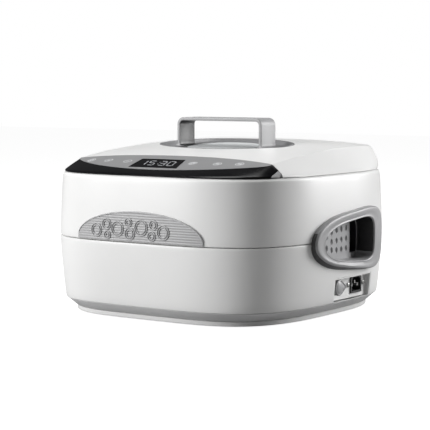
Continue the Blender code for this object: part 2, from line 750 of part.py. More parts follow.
def build_drain():
    x, y = 75.0, -30.0
    top = TANK_FLOOR + CLEAR
    turned("drain_fitting", [
        (3.6, -17.0), (3.6, 1.0), (6.0, 2.0), (12.0, 1.2), (12.0, 0.0), (7.0, 0.0), (7.0, -9.5), (4.8, -9.5),
        (4.8, -17.0),
    ], (x, y, top), "Z", "brass", 18, wrap=True)
    turned("drain_nut", [(7.3, 0.0), (12.0, 0.0), (12.0, -5.0), (7.3, -5.0)],
           (x, y, TANK_FLOOR - TANK_T - CLEAR), "Z", "brass", 12, wrap=True)

    body = bmesh.new()
    add_rings(body, [circle(r, (px, VALVE_Y, VALVE_Z), "X", 20) for r, px in
                     ((11.0, 152.0), (12.0, 153.0), (12.0, 173.1), (6.8, 173.1), (6.8, 176.6), (3.3, 176.6),
                      (3.3, 164.0))])
    add_object("drain_valve_body", body, "black_abs")
    for number, dz in enumerate((6.5, -6.5)):
        turned("valve_barb_%d" % (number + 1), [(2.2, 0.0), (3.4, 0.0), (3.4, -13.0), (2.2, -13.0)],
               (151.7, VALVE_Y, VALVE_Z + dz), "X", "brass", 12, wrap=True)

    turned("drain_escutcheon", [(7.2, 0.0), (11.0, 0.0), (11.0, 0.8), (10.2, 1.4), (7.2, 1.4)],
           (PLATE_X + CLEAR, VALVE_Y, VALVE_Z), "X", "black_abs", 24, wrap=True)
    build_knob()

    sweep("drain_hose_tank", [(x, y, 51.5), (x, y, 46.0), (x, y, 41.0), (x + 6, y + 5, 31.0),
                              (x + 24, y + 20, 28.0),
                              (120.0, VALVE_Y - 2, 40.0), (134.0, VALVE_Y, VALVE_Z + 6.5),
                              (142.0, VALVE_Y, VALVE_Z + 6.5),
                              (151.2, VALVE_Y, VALVE_Z + 6.5)],
          6.3, "silicone", 5.5, 3, 10)
    sweep("drain_hose_outlet", [(151.2, VALVE_Y, VALVE_Z - 6.5), (144.0, VALVE_Y, VALVE_Z - 6.5),
                                (138.0, VALVE_Y + 1, VALVE_Z - 6.5),
                                (128.0, VALVE_Y + 14, 31.0), (128.0, 60.0, 30.0), (126.0, 110.0, 31.0),
                                (112.0, 138.0, 34.0), (84.0, 143.0, 37.0), (62.0, 149.0, VALVE_Z),
                                (60.0, 158.0, VALVE_Z), (60.0, 167.5, VALVE_Z)],
          6.3, "silicone", 5.5, 3, 10)
    rear = 181.6
    turned("drain_outlet", [
        (3.2, 158.0), (4.9, 158.0), (4.9, 168.0), (5.9, 168.0), (5.9, rear + 0.5), (10.0, rear + 0.5),
        (10.0, rear + 2.6), (6.0, rear + 3.4), (5.6, rear + 19.2), (4.6, rear + 20.4), (3.2, rear + 20.4),
    ], (60.0, 0.0, VALVE_Z), "Y", "black_abs", 16, wrap=True)


def build_knob():
    """Valve knob with a teardrop lever; its origin lies on the turning axis."""
    start = PLATE_X + 2.2

    def lever(radius, tip, x):
        points = []
        for i in range(24):
            t = 2 * math.pi * i / 24
            u, v = math.cos(t), math.sin(t)
            stretch = tip * max(0.0, u) ** 4
            points.append(Vector((x, radius * u + stretch, radius * v)))
        return points

    rings = [
        lever(3.0, 0.0, 165.0), lever(3.0, 0.0, start), lever(10.6, 5.0, start), lever(10.8, 5.2, start + 0.4),
        lever(10.8, 5.2, start + 5.0), lever(9.9, 4.4, start + 6.0),
    ]
    bm = bmesh.new()
    add_rings(bm, rings)
    knob = add_object("drain_knob", bm, "grey_abs", 40.0)
    knob.location = Vector((0.0, VALVE_Y, VALVE_Z)) * MM


# ----------------------------------------------------------------- connectors


def build_connectors():
    def block(name, inner_x, y0, y1, z0, z1, reach, finish):
        """Block whose outer end follows the housing's skin."""
        rows = []
        for i in range(7):
            y = y0 + (y1 - y0) * i / 6
            low, high = skin_x(y, z0) + reach, skin_x(y, z1) + reach
            rows.append([Vector((inner_x, y, z0)), Vector((low, y, z0)), Vector((high, y, z1)),
                         Vector((inner_x, y, z1))])
        return loft(name, rows, finish)

    plate = block("connector_plate", PLATE_X - 2.5, PLATE_Y0, PLATE_Y1, LOWER_BOTTOM + 0.2, PLATE_Z1, -0.2,
                  "rim_grey")
    cuts = [
        cut_box("plate_hollow", (PLATE_X, PLATE_Y0 + 1.6, 15.0), (200.0, PLATE_Y1 - 1.6, PLATE_Z1 - 1.6)),
        cut_box("plate_inlet", (170.0, INLET_Y - 14.3, INLET_Z - 12.3), (180.0, INLET_Y + 14.3, INLET_Z + 12.3)),
        cut_bore("plate_valve", 7.1, (170.0, VALVE_Y, VALVE_Z), 10.0, "X"),
    ]
    for number, dy in enumerate((-SCREW_PITCH / 2, SCREW_PITCH / 2)):
        cuts.append(cut_bore("plate_screw_%d" % number, 1.8, (170.0, INLET_Y + dy, INLET_Z), 10.0, "X", 16))
    modifier_cut(plate, cuts)

    inlet = bmesh.new()
    outer = [(-14.0, -12.0), (14.0, -12.0), (14.0, 8.0), (9.5, 12.0), (-9.5, 12.0), (-14.0, 8.0)]

    def shape(points, scale_y, scale_z, x):
        return [Vector((x, INLET_Y + u * scale_y, INLET_Z + v * scale_z)) for u, v in points]

    ears = [(-25.0, -10.0), (25.0, -10.0), (25.0, 8.0), (20.0, 10.0), (-20.0, 10.0), (-25.0, 8.0)]
    add_rings(inlet, [
        shape(outer, 1.0, 1.0, 152.0), shape(outer, 1.0, 1.0, 170.3), shape(ears, 1.0, 1.0, 170.3),
        shape(ears, 1.0, 1.0, 173.2), shape(outer, 1.0, 1.0, 173.2), shape(outer, 1.0, 1.0, 178.0),
        shape(outer, 0.82, 0.76, 178.0), shape(outer, 0.82, 0.76, 162.0),
    ])
    socket = add_object("power_inlet", inlet, "black_abs")
    ear_cuts = []
    for side, dy in (("front", -SCREW_PITCH / 2), ("rear", SCREW_PITCH / 2)):
        ear_cuts.append(cut_bore("ear_" + side, 1.8, (165.0, INLET_Y + dy, INLET_Z), 12.0, "X", 16))
        turned("inlet_screw_" + side, [(1.5, 167.0), (1.5, PLATE_X + CLEAR), (3.2, PLATE_X + CLEAR),
                                       (3.2, PLATE_X + 1.2), (2.2, PLATE_X + 2.0)],
               (0.0, INLET_Y + dy, INLET_Z), "X", "steel", 16)
    modifier_cut(socket, ear_cuts)
    for name, dy, dz in (("live", -7.0, -1.5), ("earth", 0.0, 2.5), ("neutral", 7.0, -1.5)):
        box("inlet_pin_" + name, (162.3, INLET_Y + dy - 1.0, INLET_Z + dz - 2.0),
            (175.5, INLET_Y + dy + 1.0, INLET_Z + dz + 2.0), "brass")


# ----------------------------------------------------------------- electrics


def build_electrics():
    floor = 11.0
    box("main_board", (-130.0, -150.0, 16.3), (-16.0, -92.0, 17.9), "board")
    fins = bmesh.new()
    outline = [(-38.0, 0.0)]
    for i in range(6):
        x = -38.0 + 13.0 * i
        outline += [(x, 24.0), (x + 4.0, 24.0), (x + 4.0, 5.0)]
        if i < 5:
            outline.append((x + 13.0, 5.0))
    outline[-1] = (31.0, 0.0)
    add_rings(fins, [[Vector((-80.0 + u, y, 18.2 + v)) for u, v in outline] for y in (-146.0, -126.0)])
    add_object("heatsink", fins, "aluminium")
    turned("capacitor", [(9.0, 0.0), (9.0, 24.0), (8.2, 25.0)], (-112.0, -108.0, 18.2), "Z", "black_abs", 20)
    box("transformer_core", (-10.0, -168.0, floor + CLEAR), (40.0, -126.0, 52.0), "steel", 1.0)
    turned("fan_frame", [(23.0, 0.0), (31.0, 0.0), (31.0, 18.0), (23.0, 18.0)],
           (86.75, -121.0, floor + CLEAR), "Z", "black_abs", 24, wrap=True)
    build_fan_rotor((86.75, -121.0, floor + CLEAR + 2.0))

    sweep("mains_lead", [(151.5, INLET_Y, INLET_Z), (147.0, INLET_Y, INLET_Z), (142.0, INLET_Y - 4, 34.0),
                         (138.0, 40.0, 17.0), (112.0, -20.0, 15.5), (60.0, -70.0, 15.5), (30.0, -90.0, 17.0),
                         (15.0, -108.0, 24.0), (14.0, -118.0, 26.0), (14.0, -125.6, 26.0)],
          3.2, "rubber", 0.0, 3, 8)
    sweep("transducer_lead", [(-75.0, 27.1, 34.0), (-75.0, 22.0, 34.0), (-76.0, 8.0, 28.0),
                              (-70.0, -40.0, 24.0), (-50.0, -84.0, 32.0), (-40.0, -104.0, 34.0),
                              (-38.0, -108.0, 24.0), (-38.0, -108.0, 18.3)],
          1.6, "rubber", 0.0, 3, 8)
    ribbon = bmesh.new()
    path = smooth_path([(0.0, -116.0, 196.0), (0.0, -116.0, 190.0), (0.0, -116.0, 176.0),
                        (0.0, -104.0, 130.0), (-10.0, -102.0, 70.0), (-28.0, -104.0, 44.0),
                        (-28.0, -120.0, 26.0), (-28.0, -120.0, 18.3)], 3)
    rings = []
    for i, p in enumerate(path):
        ahead = path[min(i + 1, len(path) - 1)] - path[max(i - 1, 0)]
        normal = ahead.cross(Vector((1, 0, 0))).normalized() * 0.5
        wide = Vector((9.0, 0.0, 0.0))
        rings.append([p - wide - normal, p + wide - normal, p + wide + normal, p - wide + normal])
    add_rings(ribbon, rings)
    add_object("display_ribbon", ribbon, "rim_grey")


def build_fan_rotor(base):
    """Hub and seven pitched blades; the origin lies on the spindle."""
    bm = bmesh.new()
    hub = [circle(r, (0, 0, z), "Z", 20) for r, z in ((9.0, 0.0), (9.0, 13.0), (8.0, 14.0))]
    add_rings(bm, hub)
    rotor = add_object("fan_rotor", bm, "black_abs")
    rotor.location = Vector(base) * MM
    blades = 5
    for number in range(blades):
        turn = Matrix.Rotation(2 * math.pi * number / blades, 4, "Z")
        pitch = Matrix.Rotation(math.radians(35.0), 4, "X")
        blade = bmesh.new()
        add_box(blade, (7.5, -5.5, -0.7), (21.5, 5.5, 0.7))
        bmesh.ops.transform(blade, matrix=turn @ Matrix.Translation((0, 0, 6.5)) @ pitch, verts=blade.verts)
        cutter = add_object("cut_blade_%d" % number, blade, None)
        cutter.location = Vector(base) * MM
        mod = rotor.modifiers.new("blade_%d" % number, "BOOLEAN")
        mod.operation = "UNION"
        mod.solver = "EXACT"
        mod.object = cutter
        cutter.hide_render = True
        cutter.display_type = "WIRE"


def main():
    clear_scene()
    build_housing()
    build_base()
    build_tank()
    build_basket()
    build_panel()
    build_badge()
    build_lid()
    build_connectors()
    build_drain()
    build_electrics()


main()
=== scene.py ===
"""Ultrasonic cleaner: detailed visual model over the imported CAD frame, with materials, light and camera."""
import math

import bmesh
import bpy
from mathutils import Matrix, Vector


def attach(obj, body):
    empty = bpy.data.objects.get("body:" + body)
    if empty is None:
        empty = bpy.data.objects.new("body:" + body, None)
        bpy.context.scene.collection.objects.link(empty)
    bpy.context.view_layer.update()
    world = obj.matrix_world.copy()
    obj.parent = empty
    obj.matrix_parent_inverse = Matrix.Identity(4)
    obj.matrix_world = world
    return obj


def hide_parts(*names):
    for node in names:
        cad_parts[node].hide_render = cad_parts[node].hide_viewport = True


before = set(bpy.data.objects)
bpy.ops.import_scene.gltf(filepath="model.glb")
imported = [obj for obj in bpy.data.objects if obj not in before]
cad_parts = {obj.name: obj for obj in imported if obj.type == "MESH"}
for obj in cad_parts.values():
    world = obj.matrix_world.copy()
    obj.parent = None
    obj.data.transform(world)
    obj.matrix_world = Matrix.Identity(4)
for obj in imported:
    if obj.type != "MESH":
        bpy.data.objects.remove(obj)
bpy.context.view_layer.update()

MM = 0.001
scene = bpy.context.scene

# ------------------------------------------------------------------ camera and light

CAM_AT = (1.217601, -1.780584, 0.311628)
CAM_DIR = (-0.568039, 0.818491, -0.086044)
BODY_MIDDLE = (0.0, 0.0, 0.12)
SKY_LIGHT, SKY_SEEN = 0.07, 1.0     # strength of the world as a light, and as the camera sees it

cam_data = bpy.data.cameras.new("camera")
cam_data.sensor_width = 36.0
cam_data.lens = 131.606
cam_data.clip_start = 0.05
cam = bpy.data.objects.new("camera", cam_data)
cam.location = CAM_AT
cam.rotation_mode = "QUATERNION"
cam.rotation_quaternion = Vector(CAM_DIR).to_track_quat("-Z", "Y")
scene.collection.objects.link(cam)
scene.camera = cam


def area_light(name, at, target, size, power):
    data = bpy.data.lights.new(name, "AREA")
    data.shape = "RECTANGLE"
    data.size, data.size_y = size
    data.energy = power
    ob = bpy.data.objects.new(name, data)
    ob.location = at
    ob.rotation_mode = "QUATERNION"
    ob.rotation_quaternion = (Vector(target) - Vector(at)).to_track_quat("-Z", "Y")
    scene.collection.objects.link(ob)


area_light("soft_left", (-1.2, -1.72, 0.85), BODY_MIDDLE, (1.0, 1.2), 46.0)
area_light("soft_right", (1.3, 1.54, 0.75), BODY_MIDDLE, (0.8, 1.2), 44.0)
area_light("soft_top", (-0.3, 0.1, 1.9), (0.0, 0.0, 0.1), (1.2, 1.2), 25.0)

world = bpy.data.worlds.new("studio")
world.use_nodes = True
scene.world = world
wt = world.node_tree
back = wt.nodes["Background"]
back.inputs["Color"].default_value = (1.0, 1.0, 1.0, 1.0)
rays = wt.nodes.new("ShaderNodeLightPath")
levels = wt.nodes.new("ShaderNodeMapRange")
levels.inputs["To Min"].default_value = SKY_LIGHT
levels.inputs["To Max"].default_value = SKY_SEEN
wt.links.new(rays.outputs["Is Camera Ray"], levels.inputs["Value"])
wt.links.new(levels.outputs["Result"], back.inputs["Strength"])
scene.view_settings.view_transform = "Standard"


# ------------------------------------------------------------------ materials


def new_mat(name):
    mat = bpy.data.materials.new(name)
    mat.use_nodes = True
    return mat, mat.node_tree, mat.node_tree.nodes["Principled BSDF"]


def link(tree, a, out, b, into):
    tree.links.new(a.outputs[out], b.inputs[into])


def noise(tree, coord, scale, detail=4.0, rough=0.55, stretch=None):
    node = tree.nodes.new("ShaderNodeTexNoise")
    node.inputs["Scale"].default_value = scale
    node.inputs["Detail"].default_value = detail
    node.inputs["Roughness"].default_value = rough
    if stretch:
        mapping = tree.nodes.new("ShaderNodeMapping")
        mapping.inputs["Scale"].default_value = stretch
        link(tree, coord, "Object", mapping, "Vector")
        link(tree, mapping, "Vector", node, "Vector")
    else:
        link(tree, coord, "Object", node, "Vector")
    return node


def ramp(tree, source, out, low, high, lo_val, hi_val):
    node = tree.nodes.new("ShaderNodeMapRange")
    node.inputs["From Min"].default_value = low
    node.inputs["From Max"].default_value = high
    node.inputs["To Min"].default_value = lo_val
    node.inputs["To Max"].default_value = hi_val
    link(tree, source, out, node, "Value")
    return node


def mix_tints(tree, factor, out, a, b):
    node = tree.nodes.new("ShaderNodeMix")
    node.data_type = "RGBA"
    node.inputs[6].default_value = (*a, 1.0)
    node.inputs[7].default_value = (*b, 1.0)
    tree.links.new(factor.outputs[out], node.inputs[0])
    return node


def shade(colour, factor):
    return tuple(min(1.0, c * factor) for c in colour)


def surface(name, colour, rough, metal=0.0, spread=0.05, rough_spread=0.06, grain=1500.0, grain_depth=0.00002,
            wear=0.0, spec=0.5, brushed=None, ior=1.5, transmission=0.0, wave=0.0):
    """Plastic, metal or rubber with mottled colour, uneven gloss, surface grain and lighter worn edges."""
    mat, tree, shader = new_mat(name)
    coord = tree.nodes.new("ShaderNodeTexCoord")
    mottle = noise(tree, coord, 9.0, 5.0)
    tints = mix_tints(tree, ramp(tree, mottle, "Fac", 0.3, 0.7, 0.0, 1.0), "Result",
                      shade(colour, 1.0 - spread), shade(colour, 1.0 + spread * 0.5))
    last = tints
    if wear > 0.0:
        geo = tree.nodes.new("ShaderNodeNewGeometry")
        edge = ramp(tree, geo, "Pointiness", 0.52, 0.60, 0.0, wear)
        breakup = noise(tree, coord, 140.0, 3.0)
        product = tree.nodes.new("ShaderNodeMath")
        product.operation = "MULTIPLY"
        link(tree, edge, "Result", product, 0)
        link(tree, breakup, "Fac", product, 1)
        worn = tree.nodes.new("ShaderNodeMix")
        worn.data_type = "RGBA"
        tree.links.new(product.outputs[0], worn.inputs[0])
        tree.links.new(tints.outputs[2], worn.inputs[6])
        worn.inputs[7].default_value = (*shade(colour, 1.5), 1.0)
        last = worn
    tree.links.new(last.outputs[2], shader.inputs["Base Color"])
    smear = noise(tree, coord, 22.0, 6.0, 0.6, brushed)
    tree.links.new(ramp(tree, smear, "Fac", 0.3, 0.75, max(0.02, rough - rough_spread),
                        rough + rough_spread).outputs[0], shader.inputs["Roughness"])
    shader.inputs["Metallic"].default_value = metal
    shader.inputs["IOR"].default_value = ior
    shader.inputs["Specular IOR Level"].default_value = spec
    shader.inputs["Transmission Weight"].default_value = transmission
    fine = noise(tree, coord, grain, 2.0, 0.5, brushed)
    bump = tree.nodes.new("ShaderNodeBump")
    bump.inputs["Strength"].default_value = 1.0
    bump.inputs["Distance"].default_value = grain_depth
    link(tree, fine, "Fac", bump, "Height")
    if wave > 0.0:
        slow = noise(tree, coord, 26.0, 2.0)
        sink = tree.nodes.new("ShaderNodeBump")
        sink.inputs["Strength"].default_value = 1.0
        sink.inputs["Distance"].default_value = wave
        link(tree, slow, "Fac", sink, "Height")
        link(tree, sink, "Normal", bump, "Normal")
    link(tree, bump, "Normal", shader, "Normal")
    return mat


WHITE = surface("white_gloss_abs", (0.80, 0.80, 0.795), 0.34, spread=0.02, rough_spread=0.05, grain=2200.0,
                grain_depth=0.000006, wear=0.25, spec=0.4, wave=0.00001)
GREY = surface("grey_satin_abs", (0.345, 0.345, 0.352), 0.42, spread=0.06, grain=1800.0, grain_depth=0.00002,
               wear=0.5)
DARK = surface("dark_grey_abs", (0.20, 0.20, 0.205), 0.5, spread=0.06, grain=1400.0, grain_depth=0.00003,
               wear=0.4)
MID_GREY = surface("mid_grey_abs", (0.43, 0.43, 0.435), 0.4, spread=0.05, grain=1800.0, grain_depth=0.00002,
                   wear=0.4)
TRAY = surface("tray_grey_abs", (0.72, 0.72, 0.725), 0.45, spread=0.05, grain=1600.0, grain_depth=0.00002,
               wear=0.3)
LIGHT = surface("light_grey_abs", (0.72, 0.72, 0.715), 0.36, spread=0.03, grain=1600.0, grain_depth=0.00002,
                wear=0.2)
BLACK_GLOSS = surface("black_gloss_acrylic", (0.004, 0.004, 0.005), 0.2, spread=0.2, rough_spread=0.04,
                      grain=900.0, grain_depth=0.000002, ior=1.22)
BLACK = surface("black_satin_abs", (0.02, 0.02, 0.021), 0.4, spread=0.15, grain=1500.0, grain_depth=0.00003,
                wear=0.6)
# painted shade: near-black colour standing in for shade on the grip lip's forward- and down-facing side
UNDERSIDE_SHADE = surface("rim_underside_painted_shade", (0.06, 0.06, 0.062), 0.5, spread=0.08, grain=1500.0, grain_depth=0.00003)
LABEL = surface("grey_print_film", (0.27, 0.27, 0.275), 0.34, spread=0.025, rough_spread=0.02, grain=2500.0,
                grain_depth=0.000006)
MARK = surface("pale_print", (0.78, 0.79, 0.80), 0.35, spread=0.02, grain=2500.0, grain_depth=0.000004)
DIM_MARK = surface("dim_segments", (0.42, 0.43, 0.45), 0.35, spread=0.02, grain=2500.0, grain_depth=0.000004)
FROST = surface("frosted_window", (0.80, 0.82, 0.83), 0.42, spread=0.02, grain=1200.0, grain_depth=0.00003,
                transmission=0.12, ior=1.49)
RUBBER = surface("black_rubber", (0.025, 0.025, 0.025), 0.75, spread=0.2, grain=1100.0, grain_depth=0.00006,
                 wear=0.5)
SILICONE = surface("translucent_silicone", (0.62, 0.61, 0.58), 0.5, spread=0.05, grain=900.0,
                   grain_depth=0.00003)
STEEL = surface("brushed_stainless", (0.60, 0.61, 0.62), 0.27, 1.0, spread=0.05, rough_spread=0.08,
                grain=260.0, grain_depth=0.00001, brushed=(1.0, 1.0, 9.0))
SCREW = surface("plated_screw", (0.38, 0.38, 0.375), 0.42, 1.0, spread=0.08, grain=700.0, grain_depth=0.00001,
                wear=0.3)
ALU = surface("cast_aluminium", (0.70, 0.71, 0.72), 0.4, 1.0, spread=0.06, grain=500.0, grain_depth=0.00003)
CERAMIC = surface("piezo_ceramic", (0.42, 0.36, 0.29), 0.6, spread=0.1, grain=900.0, grain_depth=0.00003)
BRASS = surface("brass", (0.72, 0.53, 0.24), 0.28, 1.0, spread=0.08, grain=500.0, grain_depth=0.00001)
BOARD = surface("green_board", (0.02, 0.17, 0.07), 0.4, spread=0.2, grain=600.0, grain_depth=0.00003)

# ------------------------------------------------------------------ mesh helpers (all sizes in mm)

SMOOTH_LIMIT, CUT_LIMIT = 35.0, 32.0    # edges sharper than this many degrees stay sharp, as built and as cut


def sgn_pow(value, power):
    return math.copysign(abs(value) ** power, value)


def add_object(name, bm, mat, sharp=SMOOTH_LIMIT):
    bmesh.ops.scale(bm, vec=(MM, MM, MM), verts=bm.verts)
    bmesh.ops.recalc_face_normals(bm, faces=bm.faces)
    for face in bm.faces:
        face.smooth = True
    mesh = bpy.data.meshes.new(name)
    bm.to_mesh(mesh)
    bm.free()
    mesh.set_sharp_from_angle(angle=math.radians(sharp))
    if mat:
        mesh.materials.append(mat)
    ob = bpy.data.objects.new(name, mesh)
    scene.collection.objects.link(ob)
    return ob


def add_rings(bm, rings, wrap=False):
    """Skin between rings of points, with flat ends, or closed on itself with wrap."""
    loops = [[bm.verts.new(co) for co in ring] for ring in rings]
    count = len(loops[0])
    pairs = list(zip(loops, loops[1:]))
    if wrap:
        pairs.append((loops[-1], loops[0]))
    for low, high in pairs:
        for i in range(count):
            j = (i + 1) % count
            bm.faces.new((low[i], low[j], high[j], high[i]))
    if not wrap:
        bm.faces.new(loops[0])
        bm.faces.new(loops[-1])


def loft(name, rings, mat, wrap=False, sharp=SMOOTH_LIMIT):
    bm = bmesh.new()
    add_rings(bm, rings, wrap)
    return add_object(name, bm, mat, sharp)


def circle(radius, centre, axis="Z", count=48):
    points = []
    for i in range(count):
        t = 2 * math.pi * i / count
        u, v = radius * math.cos(t), radius * math.sin(t)
        offset = {"X": (0.0, u, v), "Y": (v, 0.0, u), "Z": (u, v, 0.0)}[axis]
        points.append(Vector(centre) + Vector(offset))
    return points


def turned(name, profile, centre, axis, mat, count=48):
    """Solid of revolution from (radius, height) pairs along the axis."""
    step = {"X": Vector((1, 0, 0)), "Y": Vector((0, 1, 0)), "Z": Vector((0, 0, 1))}[axis]
    rings = [circle(r, Vector(centre) + step * h, axis, count) for r, h in profile]
    return loft(name, rings, mat)


def add_box(bm, low, high):
    size = Vector(high) - Vector(low)
    matrix = Matrix.Translation((Vector(high) + Vector(low)) / 2) @ Matrix.Diagonal((*size, 1.0))
    bmesh.ops.create_cube(bm, size=1.0, matrix=matrix)


def cut(target, cutters):
    """Carve the cutters out of the target and leave plain mesh behind."""
    for cutter in cutters:
        mod = target.modifiers.new("cut", "BOOLEAN")
        mod.operation = "DIFFERENCE"
        mod.solver = "EXACT"
        mod.object = cutter
    bpy.context.view_layer.update()
    graph = bpy.context.evaluated_depsgraph_get()
    mesh = bpy.data.meshes.new_from_object(target.evaluated_get(graph))
    target.modifiers.clear()
    target.data = mesh
    for face in mesh.polygons:
        face.use_smooth = True
    mesh.set_sharp_from_angle(angle=math.radians(CUT_LIMIT))
    for cutter in cutters:
        bpy.data.objects.remove(cutter, do_unlink=True)


def tube(bm, path, radius, count=8, closed=False):
    """Round bead along a path, closed on itself or with flat ends."""
    rings = []
    total = len(path)
    for i, point in enumerate(path):
        ahead = path[(i + 1) % total] if closed or i + 1 < total else point
        behind = path[i - 1] if closed or i > 0 else point
        along = (ahead - behind).normalized()
        side = along.cross(Vector((0.31, 0.87, 0.38))).normalized()
        other = along.cross(side)
        rings.append([point + side * radius * math.cos(2 * math.pi * k / count)
                      + other * radius * math.sin(2 * math.pi * k / count) for k in range(count)])
    add_rings(bm, rings, wrap=closed)


# ------------------------------------------------------------------ housing

HALF_W, FRONT, REAR = 190.0, 199.5, 185.0   # the plan at the seam
POW_X, POW_Y = 4.1, 3.2                     # exponents of the plan's curve
PLAN_POINTS = 256
SHELL_BOTTOM, SEAM_LOW, SEAM_HIGH, WALL_TOP = 20.5, 101.8, 104.8, 183.0     # heights
LOWER_DRAFT, UPPER_DRAFT = 5.9, 3.3         # how far the walls draw in, at the tray and at the deck
GRIP_Y, GRIP_Z, GRIP_TAPER = 5.0, 100.5, 6.0    # a grip's middle, and how much higher its rear half is
GRIP_POW_REAR, GRIP_POW_FRONT = (4.5, 4.5), (2.9, 2.3)
TANK_Y = 27.0                               # the tank's middle


def plan_ring(inset, z):
    points = []
    for i in range(PLAN_POINTS):
        t = 2 * math.pi * (i + 0.5) / PLAN_POINTS
        x = (HALF_W - inset) * sgn_pow(math.cos(t), 2 / POW_X)
        half = (REAR if math.sin(t) > 0 else FRONT) - inset
        points.append(Vector((x, half * sgn_pow(math.sin(t), 2 / POW_Y), z)))
    return points


def skin_inset(z):
    """How far the wall at height z stands in from its place at the seam."""
    if z < SEAM_LOW:
        return LOWER_DRAFT * ((SEAM_LOW - max(z, SHELL_BOTTOM)) / (SEAM_LOW - SHELL_BOTTOM)) ** 1.45
    if z > SEAM_HIGH:
        return UPPER_DRAFT * ((min(z, WALL_TOP) - SEAM_HIGH) / (WALL_TOP - SEAM_HIGH)) ** 1.6
    return 0.0


def skin_x(y, z):
    inset = skin_inset(z)
    half = (REAR if y > 0 else FRONT) - inset
    return (HALF_W - inset) * (1 - abs(y / half) ** POW_Y) ** (1 / POW_X)


def front_y(x, inset):
    """y of the plan's front edge at x."""
    return -(FRONT - inset) * (1 - min(1.0, abs(x / (HALF_W - inset))) ** POW_X) ** (1 / POW_Y)


def skin_front(x, z):
    return front_y(x, skin_inset(z))


def grip_ring(centre_y, half_y, half_z, taper, x_of, count=128):
    """Outline of the grip, higher toward the rear; x_of gives each point's x from its y and z."""
    points = []
    for i in range(count):
        t = 2 * math.pi * (i + 0.5) / count
        c, s = math.cos(t), math.sin(t)
        p, q = GRIP_POW_REAR if c > 0 else GRIP_POW_FRONT
        along = sgn_pow(c, 2 / p)
        y = centre_y + half_y * along
        z = GRIP_Z + (half_z + taper * along) * sgn_pow(s, 2 / q)
        points.append(Vector((x_of(y, z), y, z)))
    return points


def sided(rings, side):
    """The rings as they are for the right side (1), mirrored for the left (-1)."""
    if side > 0:
        return rings
    return [[Vector((-p.x, p.y, p.z)) for p in reversed(ring)] for ring in rings]


def grip_cutter(side):
    rings = [grip_ring(GRIP_Y, 67.8, 28.3, GRIP_TAPER, lambda y, z, x=x: x) for x in (155.0, 205.0)]
    return loft("grip_cutter", sided(rings, side), None)


def cut_box(low, high):
    bm = bmesh.new()
    add_box(bm, low, high)
    return add_object("box_cutter", bm, None)


def cut_bore(radius, centre, length, axis):
    return turned("bore_cutter", [(radius, 0.0), (radius, length)], centre, axis, None)


def finish_piece(ob, body, slot, *nodes):
    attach(ob, body)
    if nodes:
        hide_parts(*nodes)


def fillet(start, end, centre, steps=6):
    """Quarter-round between two (inset, z) stations about a centre."""
    a0 = math.atan2(start[1] - centre[1], start[0] - centre[0])
    a1 = math.atan2(end[1] - centre[1], end[0] - centre[0])
    r0 = math.hypot(start[0] - centre[0], start[1] - centre[1])
    r1 = math.hypot(end[0] - centre[0], end[1] - centre[1])
    if a1 - a0 > math.pi:
        a1 -= 2 * math.pi
    if a0 - a1 > math.pi:
        a1 += 2 * math.pi
    out = []
    for k in range(steps + 1):
        f = k / steps
        a, r = a0 + (a1 - a0) * f, r0 + (r1 - r0) * f
        out.append((centre[0] + r * math.cos(a), centre[1] + r * math.sin(a)))
    return out


def build_housing():
    profile = [(6.9, SHELL_BOTTOM), (6.2, 20.8)]
    profile += [(skin_inset(z), z) for z in (22.0, 30.0, 40.0, 50.0, 60.0, 70.0, 80.0, 90.0, 97.0, 101.0)]
    profile += [(0.15, 101.7), (0.5, 102.4), (1.1, 102.8), (3.4, 102.9), (3.0, SEAM_LOW), (5.3, 60.0),
                (8.9, SHELL_BOTTOM)]
    lower = loft("housing_lower", [plan_ring(i, z) for i, z in profile], WHITE, wrap=True)
    cut(lower, [
        grip_cutter(1), grip_cutter(-1),
        cut_box((170.0, -21.3, 15.0), (200.0, 80.3, 52.3)),
        cut_bore(6.3, (60.0, 170.0, 39.0), 30.0, "Y"),
    ])
    finish_piece(lower, "housing", "white_shell", "lower_housing")

    profile = [(1.1, 103.8), (0.5, 104.2), (0.15, 104.9)]
    profile += [(skin_inset(z), z)
                for z in (105.6, 112.0, 120.0, 130.0, 140.0, 150.0, 160.0, 170.0, 178.0, 182.6)]
    profile += fillet((3.4, 183.6), (8.6, 188.8), (8.6, 183.6), 8)
    profile += [(13.6, 188.8), (14.4, 188.4), (14.6, 186.0), (40.0, 186.0), (40.0, 183.0), (9.0, 183.0),
                (6.4, 180.0), (4.3, 150.0), (3.0, SEAM_HIGH), (3.4, 103.7)]
    upper = loft("housing_upper", [plan_ring(i, z) for i, z in profile], WHITE, wrap=True)
    cut(upper, [grip_cutter(1), grip_cutter(-1)])
    finish_piece(upper, "housing", "white_shell", "upper_housing")

    deck_top, deck_under = 185.9, 183.1
    rings = [plan_ring(36.0, z) for z in (deck_top, deck_under)]
    rings += [tank_ring(146.0, 118.0, z, PLAN_POINTS) for z in (deck_under, deck_top)]
    deck = loft("housing_deck", rings, WHITE, wrap=True)
    finish_piece(deck, "housing", "white_shell")


def tank_ring(a, b, z, count=160):
    points = []
    for i in range(count):
        t = 2 * math.pi * (i + 0.5) / count
        points.append(Vector((a * sgn_pow(math.cos(t), 0.3), TANK_Y + b * sgn_pow(math.sin(t), 0.3), z)))
    return points


